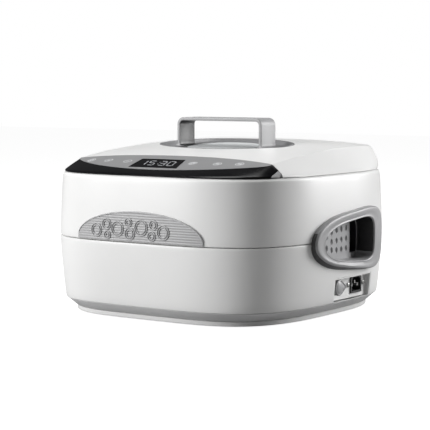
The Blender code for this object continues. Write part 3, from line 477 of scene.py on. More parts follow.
def build_grip(name, node, side):
    """Proud bezel, finger pocket with a ramp, a deeper rear well and rows of grip dimples."""
    painted_shade_index, lip_shade_index = 1, 2     # material slots for painted shade: the well and pocket walls, then the lip's underside
    lip_offsets = (5.9, 7.2, 8.0, 8.2)

    def floor_x(y, proud=0.0):
        return 177.5 - 0.15 * (y - GRIP_Y) + proud

    def on(offset):
        return lambda y, z: skin_x(y, z) + offset

    def back_x(y, z):
        return 157.0

    def pocket_half(y, half_y, half_z):
        """Half the height of a pocket outline at y."""
        along = (y - GRIP_Y) / half_y
        p, q = GRIP_POW_REAR if along > 0 else GRIP_POW_FRONT
        return (half_z + GRIP_TAPER * along) * max(0.0, 1 - abs(along) ** p) ** (1 / q)

    rings = [
        grip_ring(GRIP_Y, 65.2, 25.7, GRIP_TAPER, back_x),
        grip_ring(GRIP_Y, 67.5, 28.0, GRIP_TAPER, lambda y, z: 159.5),
        grip_ring(GRIP_Y, 67.5, 28.0, GRIP_TAPER, on(0.5)),
        grip_ring(7.0, 89.2, 38.7, 7.8, on(0.3)),
        grip_ring(7.0, 89.2, 38.7, 7.8, on(1.0)),
        grip_ring(7.0, 88.9, 38.4, 7.8, on(lip_offsets[0])),
        grip_ring(6.9, 88.1, 37.8, 7.8, on(lip_offsets[1])),
        grip_ring(6.9, 86.8, 36.8, 7.7, on(lip_offsets[2])),
        grip_ring(6.8, 85.0, 35.5, 7.6, on(lip_offsets[3])),
        grip_ring(6.0, 76.0, 31.6, 6.8, on(7.6)),
        grip_ring(5.3, 69.0, 28.6, 6.2, on(6.7)),
        grip_ring(5.2, 67.6, 27.9, 6.1, on(6.9)),
        grip_ring(5.1, 66.4, 27.0, 6.0, on(7.1)),
        grip_ring(GRIP_Y, 65.4, 26.1, GRIP_TAPER, on(6.4)),
        grip_ring(GRIP_Y, 65.0, 25.7, GRIP_TAPER, on(5.0)),
        grip_ring(GRIP_Y, 64.6, 25.4, GRIP_TAPER, on(0.0)),
    ]
    for share in (0.0, 0.5, 0.85, 1.0):
        inset = 0.5 + 1.6 * share ** 2
        rings.append(grip_ring(GRIP_Y, 64.6 - inset, 25.4 - inset, GRIP_TAPER,
                               lambda y, z, s=share: floor_x(y, 3.0 * (1 - s) ** 2)))
    for step in range(18):
        scale = 0.97 - 0.055 * step
        rings.append(grip_ring(GRIP_Y, 62.5 * scale, 23.3 * scale, GRIP_TAPER * scale,
                               lambda y, z: floor_x(y)))
    # the lip's lower outer side leans outward
    for ring, offset in zip(rings[5:9], lip_offsets):
        for p in ring:
            lean = min(1.0, max(0.0, (75.0 - p.y) / 90.0)) * min(1.0, max(0.0, (104.0 - p.z) / 24.0))
            p.z += 3.4 * lean
            p.y += 1.6 * lean * max(0.0, -p.y) / 80.0
            p.x = skin_x(p.y, p.z) + offset
    grip = loft(name, sided(rings, side), GREY, sharp=50.0)

    well = []
    for x in (159.4, 184.0):
        ring = grip_ring(GRIP_Y, 60.4, 21.6, GRIP_TAPER, lambda y, z, x=x: x)
        front, bottom = 42.0 + 0.35 * (171.0 - x), 80.3
        over = [p for p in ring if p.y > 48.0 and p.z > GRIP_Z]
        rear = [p for p in ring if p.y > 48.0 and bottom + 1.0 < p.z <= GRIP_Z]
        well.append(over + [Vector((x, front, over[-1].z - 0.4)), Vector((x, front, bottom)),
                            Vector((x, rear[0].y - 0.6, bottom))] + rear)
    bm = bmesh.new()
    # radius of a dimple, and its height over the pocket's floor
    depths = ((4.6, 1.5), (4.3, 0.0), (3.7, -1.0), (2.6, -2.0), (1.2, -2.6))
    for column, reach in enumerate((7.5, 11.5, 13.2, 13.6, 13.8)):
        y = -38.0 + 16.8 * column
        for row in (-0.95, 0.0, 1.05):
            if column == 0 and row == 0.0:
                continue
            z = GRIP_Z + row * reach
            add_rings(bm, sided([circle(r, (floor_x(y) + h, y, z), "X", 18) for r, h in depths], side))
    cut(grip, [loft("well_cutter", sided(well, side), None)])
    cut(grip, [add_object("dimple_cutter", bm, None)])
    grip.data.materials.append(BLACK)
    grip.data.materials.append(UNDERSIDE_SHADE)
    for face in grip.data.polygons:
        centre, normal = face.center / MM, face.normal
        depth = skin_x(centre.y, centre.z) - abs(centre.x)
        under = normal.y * -0.82 + normal.z * -0.57
        off_middle, floor = abs(centre.z - GRIP_Z), floor_x(centre.y)
        # painted shade: the lip's outer side, where it faces forward and down, gets the near-black material
        if -5.6 < depth < -0.5 and under > 0.2 and abs(normal.x) < 0.9 and (
                off_middle > pocket_half(centre.y, 68.5, 29.5)):
            face.material_index = lip_shade_index
        # painted shade: the well, then the pocket's walls beside it, get the black material where the pocket
        # lies in shade
        if centre.y > 36.0 and abs(centre.x) < floor - 0.4:
            face.material_index = painted_shade_index
        if off_middle < pocket_half(centre.y, 66.2, 26.9) and centre.y > 43.0 and centre.z > 81.0 and (
                depth > -5.4 and abs(centre.x) > floor + 0.2):
            face.material_index = painted_shade_index
    finish_piece(grip, "housing", "grey_plastic", node)


def build_base():
    profile = [(22.5, 11.0), (12.0, 18.9), (10.0, 20.2), (7.0, 20.2), (6.5, 19.9), (10.2, 16.6), (18.2, 8.8),
               (19.6, 8.4)]
    pan = loft("base_tray", [plan_ring(i, z) for i, z in profile], TRAY)
    vents, pitch, wide = 6, 9.0, 4.5
    starts = [62.0 + pitch * number for number in range(vents)]
    cut(pan, [cut_box((x, -145.0, 5.0), (x + wide, -97.0, 15.0)) for x in starts])
    finish_piece(pan, "housing", "dark_grey_plastic", "base_pan")
    profile = [(19.4, 8.1), (19.0, 7.7), (19.2, 2.9), (20.0, 2.2), (25.0, 2.2), (25.0, 8.1)]
    rim = loft("base_skirt", [plan_ring(i, z) for i, z in profile], LIGHT, wrap=True)
    finish_piece(rim, "housing", "light_grey_plastic", "base_rim")


# ------------------------------------------------------------------ lid and panel surfaces

LID_BOTTOM = 189.2
# the lid's outline at its lower edge, then at its upper crease
LID_A, LID_FRONT, LID_REAR = 184.5, 194.0, 175.5
CREASE_A, CREASE_FRONT, CREASE_REAR, CREASE_POW = 156.0, 175.0, 161.0, 8.0
# half sizes of the dish's rim and floor, then its underside's height, its depth and its rise to the rear
DISH_A, DISH_B, DISH_FLOOR_A, DISH_FLOOR_B = 105.0, 57.0, 94.0, 48.0
DISH_UNDER, DISH_DEPTH, DISH_RISE = 212.8, 5.2, 2.4
WINDOW_A, WINDOW_B = 60.0, 35.0


def arc_y(x):
    """y of the seam between the control panel and the lid, at x."""
    return -110.0 - 14.0 * (x / 161.0) ** 2


def dome_z(x, y):
    crown = 225.0 + 0.085 * y - 0.00045 * y * y - 8e-7 * y ** 3
    shoulder = 218.6 + 0.06 * y - 0.0004 * y * y
    return shoulder + (crown - shoulder) * (1 - min(1.0, abs(x) / CREASE_A) ** 3)


def shoulder_z(y):
    return dome_z(CREASE_A, y)


def lid_section(level):
    """The lid's outline at a level from its lower edge (0) to its crease (1)."""
    curve = level ** 0.88
    a = LID_A + (CREASE_A - LID_A) * curve
    front = LID_FRONT + (CREASE_FRONT - LID_FRONT) * curve
    rear = LID_REAR + (CREASE_REAR - LID_REAR) * curve
    m = POW_X + (CREASE_POW - POW_X) * curve
    n = POW_Y + (CREASE_POW - POW_Y) * curve
    return a, front, rear, m, n


def wall_point(section, inset, t):
    a, front, rear, m, n = section
    x = (a - inset) * sgn_pow(math.cos(t), 2 / m)
    half = (rear if math.sin(t) > 0 else front) - inset
    return x, half * sgn_pow(math.sin(t), 2 / n)


def meet_arc(section, inset, offset):
    """Angle at which the side of an outline meets the panel's seam, by halving."""
    low, high = -math.pi / 2, 0.0
    for _ in range(50):
        mid = (low + high) / 2
        x, y = wall_point(section, inset, mid)
        if y < arc_y(x) + offset:
            low = mid
        else:
            high = mid
    return high


def lid_ring(level, inset=0.0, drop=0.0, offset=0.5, n_side=180, n_arc=70):
    section = lid_section(level)
    start = meet_arc(section, inset, offset)
    points = []
    for i in range(n_side):
        t = start + (math.pi - 2 * start) * i / (n_side - 1)
        x, y = wall_point(section, inset, t)
        top = shoulder_z(y) - drop
        points.append(Vector((x, y, LID_BOTTOM + (top - LID_BOTTOM) * level)))
    edge = points[0].x
    for i in range(1, n_arc + 1):
        x = -edge + 2 * edge * i / (n_arc + 1)
        y = arc_y(x) + offset
        top = dome_z(x, y) - drop
        points.append(Vector((x, y, LID_BOTTOM + (top - LID_BOTTOM) * level)))
    return points


def dome_ring(base, scale, drop):
    centre = Vector((0.0, 18.0, 0.0))
    points = []
    for p in base:
        q = centre + (p - centre) * scale
        points.append(Vector((q.x, q.y, dome_z(q.x, q.y) - drop)))
    return points


def ellipse_ring(a, b, z_of, count=160):
    points = []
    for i in range(count):
        t = 2 * math.pi * i / count
        x, y = a * math.cos(t), b * math.sin(t)
        points.append(Vector((x, y, z_of(x, y))))
    return points


def flat(z):
    return lambda x, y: z


def dome(lift):
    return lambda x, y: dome_z(x, y) + lift


def build_lid():
    levels = [0.0, 0.02, 0.06, 0.12, 0.2, 0.3, 0.4, 0.5, 0.6, 0.7, 0.78, 0.85, 0.91, 0.95, 0.98, 1.0]
    outer = []
    for level in levels:
        inset = 0.5 * max(0.0, 1 - level / 0.04)
        outer.append(lid_ring(level, inset=inset, offset=0.5 + inset))
    inner = [lid_ring(level, 3.0, 3.0, 3.5) for level in (0.0, 0.25, 0.5, 0.75, 0.92, 1.0)]
    rings = [dome_ring(inner[-1], s, 3.0) for s in (0.2, 0.4, 0.6, 0.8)]
    rings += list(reversed(inner)) + outer
    rings += [dome_ring(outer[-1], s, 0.0)
              for s in (0.985, 0.96, 0.92, 0.86, 0.78, 0.68, 0.58, 0.46, 0.34, 0.2)]
    shell = loft("lid_cover", rings, WHITE, sharp=40.0)
    rings = [ellipse_ring(DISH_A + 0.3, DISH_B + 0.3, flat(z)) for z in (200.0, 240.0)]
    cut(shell, [loft("dish_cutter", rings, None)])
    finish_piece(shell, "lid", "white_shell", "lid_shell")

    def floor_z(x, y):
        """The dish's floor, which follows the dome and rises toward the rear."""
        return dome_z(x, y) - DISH_DEPTH + DISH_RISE * max(0.0, y) / DISH_FLOOR_B

    def bowl(share):
        """Wall of the dish, from its rim (0) down to its floor (1)."""
        lip = 2.6
        curve = share * share * (3 - 2 * share)
        a = (DISH_A - lip) + (DISH_FLOOR_A - DISH_A + lip) * share
        b = (DISH_B - lip) + (DISH_FLOOR_B - DISH_B + lip) * share
        return ellipse_ring(a, b, lambda x, y: (dome_z(x, y) + 0.2) * (1 - curve) + floor_z(x, y) * curve)

    def sunk(lift):
        return lambda x, y: floor_z(x, y) + lift

    rings = [
        ellipse_ring(DISH_A, DISH_B, dome(-3.4)),
        ellipse_ring(DISH_A, DISH_B, dome(0.1)),
        ellipse_ring(DISH_A - 0.3, DISH_B - 0.3, dome(0.45)),
        ellipse_ring(DISH_A - 1.2, DISH_B - 1.2, dome(0.5)),
        ellipse_ring(DISH_A - 2.1, DISH_B - 2.1, dome(0.4)),
    ]
    rings += [bowl(k / 8) for k in range(9)]
    rings += [ellipse_ring(WINDOW_A + k, WINDOW_B + 0.6 * k, sunk(0.0)) for k in (24.0, 14.0, 7.0)]
    rings += [
        ellipse_ring(WINDOW_A + 1.0, WINDOW_B + 1.0, sunk(0.0)),
        ellipse_ring(WINDOW_A + 0.3, WINDOW_B + 0.3, sunk(-0.5)),
        ellipse_ring(WINDOW_A + 0.3, WINDOW_B + 0.3, sunk(-1.9)),
        ellipse_ring(WINDOW_A - 4.0, WINDOW_B - 4.0, sunk(-1.9)),
        ellipse_ring(WINDOW_A - 4.0, WINDOW_B - 4.0, flat(DISH_UNDER)),
        ellipse_ring(80.0, 43.0, flat(DISH_UNDER)),
    ]
    bezel = loft("lid_dish", rings, DARK, wrap=True, sharp=40.0)
    finish_piece(bezel, "lid", "dark_grey_plastic", "lid_bezel")

    rings = [ellipse_ring(WINDOW_A * k, WINDOW_B * k, sunk(-2.6)) for k in (0.2, 0.5, 0.8)]
    rings += [
        ellipse_ring(WINDOW_A, WINDOW_B, sunk(-1.6)),
        ellipse_ring(WINDOW_A, WINDOW_B, sunk(-0.4)),
        ellipse_ring(WINDOW_A - 0.4, WINDOW_B - 0.4, sunk(0.0)),
        ellipse_ring(WINDOW_A - 1.2, WINDOW_B - 1.2, sunk(0.25)),
    ]
    rings += [ellipse_ring(WINDOW_A * k, WINDOW_B * k, sunk(0.3)) for k in (0.9, 0.7, 0.5, 0.3, 0.12)]
    window = loft("lid_viewing_window", rings, FROST, sharp=60.0)
    finish_piece(window, "lid", "frosted_window", "lid_window")
    build_handle()


def build_handle():
    """Flat strap with rounded edges, swept up, across and down, and a flared foot on each leg."""
    reach, top, radius, thick, wide = 69.5, 259.5, 10.0, 4.5, 36.0
    base = dome_z(reach, 18.0) - 5.4
    path = []

    def station(x, z, nx, nz, half):
        path.append((Vector((x, 0.0, z)), Vector((nx, 0.0, nz)), half))

    mid = reach - thick / 2
    for z, flare in ((base, 2.3), (base + 0.8, 1.5), (base + 1.8, 0.7), (base + 3.2, 0.2), (base + 5.0, 0.0)):
        station(mid, z, 1.0, 0.0, thick / 2 + flare)
    bend = radius - thick / 2
    for i in range(13):
        t = math.pi / 2 * i / 12
        c, s = math.cos(t), math.sin(t)
        station(reach - radius + bend * c, top - radius + bend * s, c, s, thick / 2)
    for x in (40.0, 20.0, 0.0):
        station(x, top - thick / 2, 0.0, 1.0, thick / 2)
    mirrored = [(Vector((-p.x, 0, p.z)), Vector((-n.x, 0, n.z)), h) for p, n, h in reversed(path[:-1])]
    round_r = 1.1
    rings = []
    for point, normal, half in path + mirrored:
        ring = []
        for sy, sn in ((1, 1), (-1, 1), (-1, -1), (1, -1)):
            corner = Vector((0, sy * (wide / 2 - round_r), 0)) + normal * sn * (half - round_r)
            turns = [(0, 1), (0.38, 0.92), (0.71, 0.71), (0.92, 0.38), (1, 0)]
            if sy * sn > 0:
                turns = turns[::-1]
            for ty, tn in turns:
                ring.append(point + corner + Vector((0, sy * ty * round_r, 0)) + normal * sn * tn * round_r)
        rings.append(ring)
    handle = loft("lid_strap_handle", rings, GREY, sharp=50.0)
    handle.data.materials.append(BLACK)
    # painted shade: the strap's inward-facing sides and the underside of its top get the black material
    for face in handle.data.polygons:
        centre, normal = face.center / MM, face.normal
        inward = abs(centre.x) < reach - thick / 2 and normal.x * centre.x < -0.5 * abs(centre.x)
        under = centre.z > top - radius and normal.z < -0.5
        if abs(normal.y) < 0.5 and (inward or under):
            face.material_index = 1
    finish_piece(handle, "lid", "grey_plastic", "lid_handle")


def panel_front(x):
    return front_y(x, 5.5)


def arc_stations():
    """(x, z) along the lid's front edge, on the right half."""
    stations = []
    for k in range(24):
        level = 0.12 + 0.88 * k / 23
        section = lid_section(level)
        x, y = wall_point(section, 0.0, meet_arc(section, 0.0, 0.0))
        stations.append((x, LID_BOTTOM + (shoulder_z(y) - LID_BOTTOM) * level))
    last = stations[-1][0]
    for i in range(1, 21):
        x = last * (1 - i / 20)
        stations.append((x, dome_z(x, arc_y(x))))
    return sorted(stations)


STATIONS = arc_stations()


def panel_rear_z(x):
    x = abs(x)
    for (x0, z0), (x1, z1) in zip(STATIONS, STATIONS[1:]):
        if x <= x1:
            return z0 + (z1 - z0) * (x - x0) / max(x1 - x0, 1e-6)
    return STATIONS[-1][1]


def panel_point(x, share, lift=0.0):
    """Point on the panel, share of the way from its front edge (0) to the seam (1)."""
    front, rear = panel_front(x), arc_y(x)
    low = LID_BOTTOM + 1.6
    z = low + (panel_rear_z(x) - low) * max(share, 0.0) ** 0.9 + lift
    return Vector((x, front + (rear - front) * share, z))


def fascia(name, x0, x1, count, mat, side=1):
    """Stretch of the panel's moulding between two x positions."""
    rings = []
    for i in range(count):
        x = x0 + (x1 - x0) * i / (count - 1)
        front, rear = panel_front(x), arc_y(x)
        span = rear - front
        face = [panel_point(x, s) for s in (0.02, 0.05, 0.1, 0.18, 0.28, 0.4, 0.52, 0.64, 0.76, 0.88, 0.96)]
        top = panel_point(x, 1.0)
        ring = [Vector((x, front + 0.2, LID_BOTTOM)), Vector((x, front, LID_BOTTOM + 0.3)),
                Vector((x, front, LID_BOTTOM + 1.1))]
        ring += face
        ring += [top + Vector((0, -0.6, 0.0)), top + Vector((0, 0, -0.6))]
        back = min(2.0, 0.12 * span)
        lip = min(6.0, 0.3 * span)
        ring += [Vector((x, rear, LID_BOTTOM)), Vector((x, rear - back, LID_BOTTOM))]
        for s in (1 - back / span, 0.7, 0.5, lip / span):
            point = panel_point(x, s)
            point.z = min(point.z - 0.7, max(point.z - 2.5, LID_BOTTOM + 0.6))
            ring.append(point)
        ring.append(Vector((x, front + 0.8 * lip, LID_BOTTOM)))
        rings.append(ring)
    return loft(name, sided(rings, side), mat, sharp=25.0)


def overlay(name, edges, lift, thick, mat, n_cols, n_rows):
    """Thin sheet lying on the panel; edges gives x, low share and high share along its length."""
    rings = []
    for i in range(n_cols):
        u = math.sin(math.pi / 2 * (2 * i / (n_cols - 1) - 1)) * 0.998
        low, high = edges(u)
        top, under = [], []
        for k in range(n_rows):
            f = k / (n_rows - 1)
            x = low[0] + (high[0] - low[0]) * f
            share = low[1] + (high[1] - low[1]) * f
            top.append(panel_point(x, share, lift + thick))
            under.append(panel_point(x, share, lift))
        rings.append(top + under[::-1])
    return loft(name, rings, mat, sharp=30.0)


def strokes(name, lines, width, lift, mat, place):
    """Printed strokes: each polyline becomes a flat ribbon on the panel; place maps (u, v) mm to a point."""
    bm = bmesh.new()
    for line in lines:
        closed = line[0] == line[-1]
        pts = line[:-1] if closed else line
        count = len(pts)
        rails = []
        for i, (u, v) in enumerate(pts):
            pu, pv = pts[i - 1] if closed or i > 0 else pts[i]
            nu, nv = pts[(i + 1) % count] if closed or i + 1 < count else pts[i]
            du, dv = nu - pu, nv - pv
            size = math.hypot(du, dv) or 1.0
            ou, ov = -dv / size * width / 2, du / size * width / 2
            quad = []
            for ku, kv, kh in ((u + ou, v + ov, 0.0), (u - ou, v - ov, 0.0), (u - ou, v - ov, 0.12),
                               (u + ou, v + ov, 0.12)):
                quad.append(place(ku, kv, lift + kh))
            rails.append(quad)
        add_rings(bm, rails, wrap=closed)
    return add_object(name, bm, mat, 30.0)


def arc_line(radius, a0, a1, cu=0.0, cv=0.0, steps=14):
    out = []
    for k in range(steps + 1):
        t = math.radians(a0 + (a1 - a0) * k / steps)
        out.append((cu + radius * math.cos(t), cv + radius * math.sin(t)))
    if abs(a1 - a0) >= 360:
        out[-1] = out[0]
    return out


def icon_lines(kind):
    ring = arc_line(5.4, 0, 360, steps=24)
    if kind == "power":
        return [ring, arc_line(2.7, 125, 415), [(0.0, 0.6), (0.0, 3.9)]]
    if kind == "plus":
        return [ring, [(-2.7, 0.0), (2.7, 0.0)], [(0.0, -2.7), (0.0, 2.7)]]
    if kind == "minus":
        return [ring, [(-2.7, 0.0), (2.7, 0.0)]]
    if kind == "timer":
        return [ring, arc_line(3.0, 0, 360), [(0.0, 0.0), (0.0, 2.0)], [(0.0, 0.0), (1.5, -0.6)]]
    if kind == "heat":
        waves = []
        for u in (-2.0, 0.0, 2.0):
            waves.append([(u + 0.6 * math.sin(k * math.pi / 4), -2.8 + 0.7 * k) for k in range(9)])
        return [ring] + waves
    waves = []
    for v in (-1.6, 0.0, 1.6):
        waves.append([(-3.2 + 0.8 * k, v + 0.6 * math.sin(k * math.pi / 2)) for k in range(9)])
    return [ring] + waves


SEGMENTS = {"0": "abcdef", "1": "bc", "2": "abged", "3": "abgcd", "5": "afgcd", "8": "abcdefg"}


def digit_lines(char, u0, v0, w, h):
    spots = {"a": ((0, 1), (1, 1)), "b": ((1, 1), (1, 0.5)), "c": ((1, 0.5), (1, 0)), "d": ((0, 0), (1, 0)),
             "e": ((0, 0), (0, 0.5)), "f": ((0, 0.5), (0, 1)), "g": ((0, 0.5), (1, 0.5))}
    out = []
    for seg in SEGMENTS[char]:
        (au, av), (bu, bv) = spots[seg]
        ku, kv = (bu - au) * 0.12, (bv - av) * 0.1
        out.append([(u0 + w * (au + ku), v0 + h * (av + kv)), (u0 + w * (bu - ku), v0 + h * (bv - kv))])
    return out


def build_panel():
    black_end, cheek_end = 165.0, 169.4
    main = fascia("panel_moulding", -black_end, black_end, 121, BLACK_GLOSS)
    finish_piece(main, "housing", "black_gloss", "panel_fascia")
    for side, label in ((1, "right"), (-1, "left")):
        cheek = fascia("panel_cheek_" + label, black_end + 0.1, cheek_end, 12, GREY, side)
        finish_piece(cheek, "housing", "grey_plastic")

    half = 155.0

    def label_edges(u):
        x = half * u
        low = 0.975 - 0.745 * max(0.0, 1 - u * u) ** 0.5
        return (x, low), (x, 0.982)

    label = overlay("panel_print_film", label_edges, 0.12, 0.22, LABEL, 97, 9)
    finish_piece(label, "housing", "grey_plastic", "panel_label")

    def window_edges(u):
        return (-0.5 + 38.5 * u, 0.315), (-9.0 + 34.8 * u, 0.765)

    window = overlay("panel_display", window_edges, 0.3, 0.3, BLACK_GLOSS, 25, 6)
    finish_piece(window, "housing", "black_gloss", "display_window")

    def placer(cx, share, lean=-0.28):
        depth = arc_y(cx) - panel_front(cx)
        return lambda u, v, lift: panel_point(cx + u + lean * v, share + v / depth, lift)

    lines = []
    digits = (("1", -25.0), ("5", -11.0), ("3", 6.0), ("0", 20.0))
    for char, u in digits:
        lines += digit_lines(char, u - 4.5, -9.0, 9.0, 18.0)
    lines += [[(-0.6, 4.0), (0.6, 4.0)], [(-0.6, -4.0), (0.6, -4.0)]]
    shown = strokes("display_digits", lines, 1.5, 0.62, DIM_MARK, placer(-3.5, 0.54))
    finish_piece(shown, "housing", "light_grey_plastic")

    keys = (("power", -124.0, 0.68), ("plus", -92.5, 0.65), ("minus", -58.5, 0.61), ("timer", 46.5, 0.62),
            ("heat", 83.0, 0.66), ("wave", 113.0, 0.75))
    for kind, x, share in keys:
        key = strokes("key_" + kind, icon_lines(kind), 0.9, 0.36, MARK, placer(x, share, 0.0))
        finish_piece(key, "housing", "light_grey_plastic")


def build_badge():
    """Ribbed lunette with a raised edge bead and a row of outlined bubbles."""
    half, base, rise = 100.0, 104.9, 37.0

    def top_of(x):
        return base + 2.0 + rise * max(0.0, 1 - (x / half) ** 2) ** 0.47

    n_cols, ribs, per = 81, 12, 5
    rings = []
    for i in range(n_cols):
        x = half * math.sin(math.pi / 2 * (2 * i / (n_cols - 1) - 1)) * 0.998
        top = top_of(x)
        outer, inner = [], []
        rows = ribs * per
        for k in range(rows + 1):
            z = base + (2.0 + rise) * k / rows
            z = min(z, top - 0.02 * (rows - k) / rows)
            wave = 0.75 if k % per == 0 else 0.0
            outer.append(Vector((x, skin_front(x, z) - 2.0 + wave, z + 0.0002 * k)))
            inner.append(Vector((x, skin_front(x, z) - 0.25, z + 0.0002 * k)))
        rings.append(outer + inner[::-1])
    plate = loft("badge_ribbed_plate", rings, MID_GREY, sharp=60.0)
    finish_piece(plate, "housing", "grey_plastic", "badge_plate")

    bm = bmesh.new()
    rim = []
    for i in range(121):
        x = half * 0.985 * math.sin(math.pi / 2 * (2 * i / 120 - 1))
        z = top_of(x) - 1.0
        rim.append(Vector((x, skin_front(x, z) - 2.0, z)))
    tube(bm, rim, 0.8)
    bubbles = ((-66.0, 12.5, 8.5), (-49.0, 21.0, 7.0), (-47.5, 7.0, 5.0), (-31.0, 15.5, 9.5),
               (-13.5, 24.5, 5.5), (-11.0, 10.0, 7.5), (7.0, 18.5, 10.0), (24.0, 8.5, 6.0),
               (26.5, 23.0, 6.0), (42.0, 14.0, 9.0))
    for cx, lift, radius in bubbles:
        for r in (radius, radius - 2.6):
            loop = []
            for k in range(40):
                t = 2 * math.pi * k / 40
                x, z = cx + r * math.cos(t), base + lift + r * math.sin(t)
                loop.append(Vector((x, skin_front(x, z) - 2.5, z)))
            tube(bm, loop, 0.65, closed=True)
    motif = add_object("badge_bubbles", bm, MID_GREY, 60.0)
    finish_piece(motif, "housing", "grey_plastic")


# ------------------------------------------------------------------ tank, basket, fittings


def build_tank():
    a, b, t, floor = 140.0, 112.0, 1.2, 62.0
    rings = [tank_ring(a - k, b - k, floor) for k in (110.0, 80.0, 50.0, 28.0)]
    rings += [tank_ring(a - 20, b - 20, floor)]
    rings += [tank_ring(a - i, b - i, z) for i, z in
              ((13, floor + 0.4), (9, floor + 1.4), (5.5, floor + 3.6), (3, floor + 6.8), (2, floor + 11))]
    rings += [tank_ring(a - 1.6, b - 1.6, 90.0), tank_ring(a - 0.8, b - 0.8, 135.0), tank_ring(a, b, 180.0)]
    rings += [tank_ring(a + i, b + i, z) for i, z in
              ((0.4, 184.6), (1.0, 186.8), (2.0, 188.0), (3.4, 188.5), (14.6, 188.5), (15.0, 188.2),
               (15.0, 187.4), (3.4, 187.4), (t, 180.0), (t - 2, floor + 10), (t - 7, floor + 0.6),
               (-20, floor - t))]
    tank = loft("tank_pressed_steel", rings, STEEL, sharp=50.0)
    cut(tank, [cut_bore(7.3, (75.0, -30.0, 50.0), 20.0, "Z")])
    finish_piece(tank, "housing", "steel", "tank")


def build_basket():
    a, b, floor, top = 131.0, 103.0, 68.0, 189.7
    rings = [tank_ring(a - k, b - k, floor, 120) for k in (100.0, 60.0, 30.0)]
    rings += [tank_ring(a - i, b - i, z, 120) for i, z in
              ((11, floor), (7, floor + 0.4), (4, floor + 1.4), (2.6, floor + 3), (2, floor + 5))]
    rings += [tank_ring(a, b, top - 3.0, 120), tank_ring(a + 0.6, b + 0.6, top - 0.8, 120)]
    rings += [tank_ring(a + i, b + i, z, 120) for i, z in
              ((2.0, top), (18.5, top), (19.0, top - 0.3), (19.0, top - 1.0), (1.2, top - 1.0),
               (-0.8, floor + 5), (-2.6, floor + 0.4), (-9, floor - 1.2))]
    basket = loft("basket_perforated", rings, STEEL, sharp=50.0)
    bm = bmesh.new()
    for row in range(7):
        y = TANK_Y - 66.0 + 22.0 * row
        for low, high in ((-94.0, -6.0), (6.0, 94.0)):
            add_slot(bm, (low, y, 0.0), (high, y, 0.0), 4.0, "Z", floor - 4.0, floor + 1.2)
    for column in range(9):
        x = -88.0 + 22.0 * column
        for y0, y1 in ((TANK_Y - b - 6, TANK_Y - b + 12), (TANK_Y + b - 12, TANK_Y + b + 6)):
            add_slot(bm, (x, 0.0, floor + 18.0), (x, 0.0, 165.0), 4.0, "Y", y0, y1)
    cut(basket, [add_object("slot_cutter", bm, None)])
    finish_piece(basket, "basket", "steel", "basket")


def add_slot(bm, start, end, radius, axis, low, high):
    """Round-ended slot through a sheet, along axis, from start to end."""
    start, end = Vector(start), Vector(end)
    along = (end - start).normalized()
    normal = Vector((0, 0, 1)) if axis == "Z" else Vector((0, 1, 0))
    side = normal.cross(along)
    outline = []
    for centre, sign in ((end - along * radius, 1), (start + along * radius, -1)):
        for k in range(9):
            t = -math.pi / 2 + math.pi * k / 8
            outline.append(centre + (along * math.cos(t) + side * math.sin(t)) * radius * sign)
    rings = []
    for level in (low, high):
        rings.append([Vector((p.x, p.y, level) if axis == "Z" else (p.x, level, p.z)) for p in outline])
    add_rings(bm, rings)


def build_drain_knob():
    """Teardrop lever with a rim, a groove and a domed face."""
    pivot_y, pivot_z, start = -5.0, 39.0, 178.2

    def lever(radius, tip, x, count=96):
        points = []
        for i in range(count):
            t = 2 * math.pi * i / count
            u, v = math.cos(t), math.sin(t)
            reach = tip * max(0.0, u) ** 4
            narrowing = 1.0 - 0.3 * max(0.0, u) ** 2
            points.append(Vector((x, pivot_y + radius * u + reach, pivot_z + radius * v * narrowing)))
        return points

    rings = [lever(3.0, 0.0, 165.0)]
    rings += [lever(radius, tip, start + x) for radius, tip, x in (
        (3.0, 0.0, 0.0), (10.2, 5.8, 0.0), (10.8, 6.8, 0.5), (10.8, 6.8, 6.2), (10.5, 6.5, 6.9),
        (9.9, 5.9, 7.3), (9.3, 5.2, 7.3), (8.9, 4.8, 6.9), (8.5, 4.4, 6.6), (8.1, 4.0, 6.7),
        (7.2, 3.3, 7.3), (5.4, 2.1, 7.8), (3.0, 0.7, 8.0), (0.8, 0.1, 8.1))]
    knob = loft("drain_lever", rings, GREY, sharp=40.0)
    knob.data.materials.append(DARK)
    # painted shade: the rim's outer side gets the dark grey, standing in for the shade around the knob
    for face in knob.data.polygons:
        radial = math.hypot(face.center.y / MM - pivot_y, face.center.z / MM - pivot_z)
        if face.center.x / MM < start + 6.8 and radial > 9.2:
            face.material_index = 1
    finish_piece(knob, "drain_knob", "grey_plastic", "drain_knob")


def build_screws():
    """Pan heads with a cross recess, in place of the plain ones."""
    z, arm, half, recess, clear = 38.2, 1.7, 0.3, 177.1, 179.0
    profile = [(1.5, 167.0), (1.5, 176.3), (3.1, 176.3), (3.2, 176.5), (3.2, 177.0), (2.9, 177.5),
               (2.2, 177.9), (1.2, 178.0)]
    for node, y in (("inlet_screw_front", 30.5), ("inlet_screw_rear", 70.5)):
        head = turned("head_" + node, profile, (0.0, y, z), "X", SCREW, 32)
        cut(head, [cut_box((recess, y - arm, z - half), (clear, y + arm, z + half)),
                   cut_box((recess, y - half, z - arm), (clear, y + half, z + arm))])
        finish_piece(head, "housing", "steel", node)


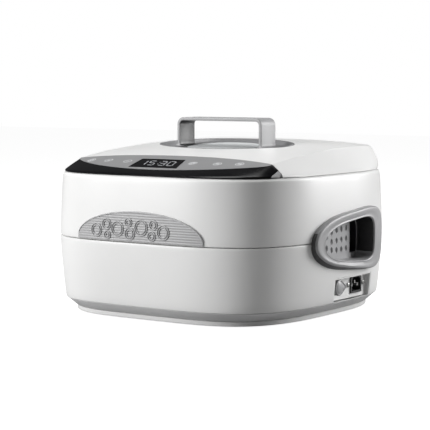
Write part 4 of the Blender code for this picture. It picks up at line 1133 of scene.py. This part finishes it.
# nodes shown as the CAD has them, with their materials
CAD_LOOKS = {
    "foot_1": RUBBER, "foot_2": RUBBER, "foot_3": RUBBER, "foot_4": RUBBER, "tank_gasket": SILICONE,
    "heater_pad": SILICONE, "thermostat": BLACK, "display_board": BOARD, "display_module": BLACK,
    "display_ribbon": LIGHT, "main_board": BOARD, "heatsink": ALU, "capacitor": BLACK,
    "transformer_core": STEEL, "fan_frame": BLACK, "fan_rotor": BLACK, "mains_lead": RUBBER,
    "transducer_lead": RUBBER, "connector_plate": WHITE, "power_inlet": BLACK, "inlet_pin_live": SCREW,
    "inlet_pin_earth": SCREW, "inlet_pin_neutral": SCREW, "drain_fitting": BRASS, "drain_nut": BRASS,
    "drain_valve_body": BLACK, "valve_barb_1": BRASS, "valve_barb_2": BRASS, "drain_escutcheon": BLACK,
    "drain_hose_tank": SILICONE, "drain_hose_outlet": SILICONE, "drain_outlet": BLACK,
    "handle_screw_left": SCREW, "handle_screw_right": SCREW,
}
for index in (1, 2, 3):
    CAD_LOOKS["transducer_%d_horn" % index] = ALU
    CAD_LOOKS["transducer_%d_stack" % index] = CERAMIC


def dress_cad():
    for node, mat in CAD_LOOKS.items():
        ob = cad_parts[node]
        ob.data.materials.clear()
        ob.data.materials.append(mat)


def build_floor():
    bm = bmesh.new()
    bmesh.ops.create_grid(bm, x_segments=1, y_segments=1, size=6000.0)
    mat = surface("pale_floor", (0.35, 0.35, 0.35), 0.8, spread=0.01, grain=300.0, grain_depth=0.00001)
    tree = mat.node_tree
    shader = tree.nodes["Principled BSDF"]
    shader.inputs["Specular IOR Level"].default_value = 0.0
    seen = tree.nodes.new("ShaderNodeLightPath")
    glow = ramp(tree, seen, "Is Camera Ray", 0.0, 1.0, 0.0, 0.95)
    shader.inputs["Emission Color"].default_value = (1.0, 1.0, 1.0, 1.0)
    link(tree, glow, "Result", shader, "Emission Strength")
    floor = add_object("floor", bm, mat)


build_floor()
build_housing()
build_grip("grip_right", "side_grip_right", 1)
build_grip("grip_left", "side_grip_left", -1)
build_base()
build_lid()
build_panel()
build_badge()
build_tank()
build_basket()
build_drain_knob()
build_screws()
dress_cad()
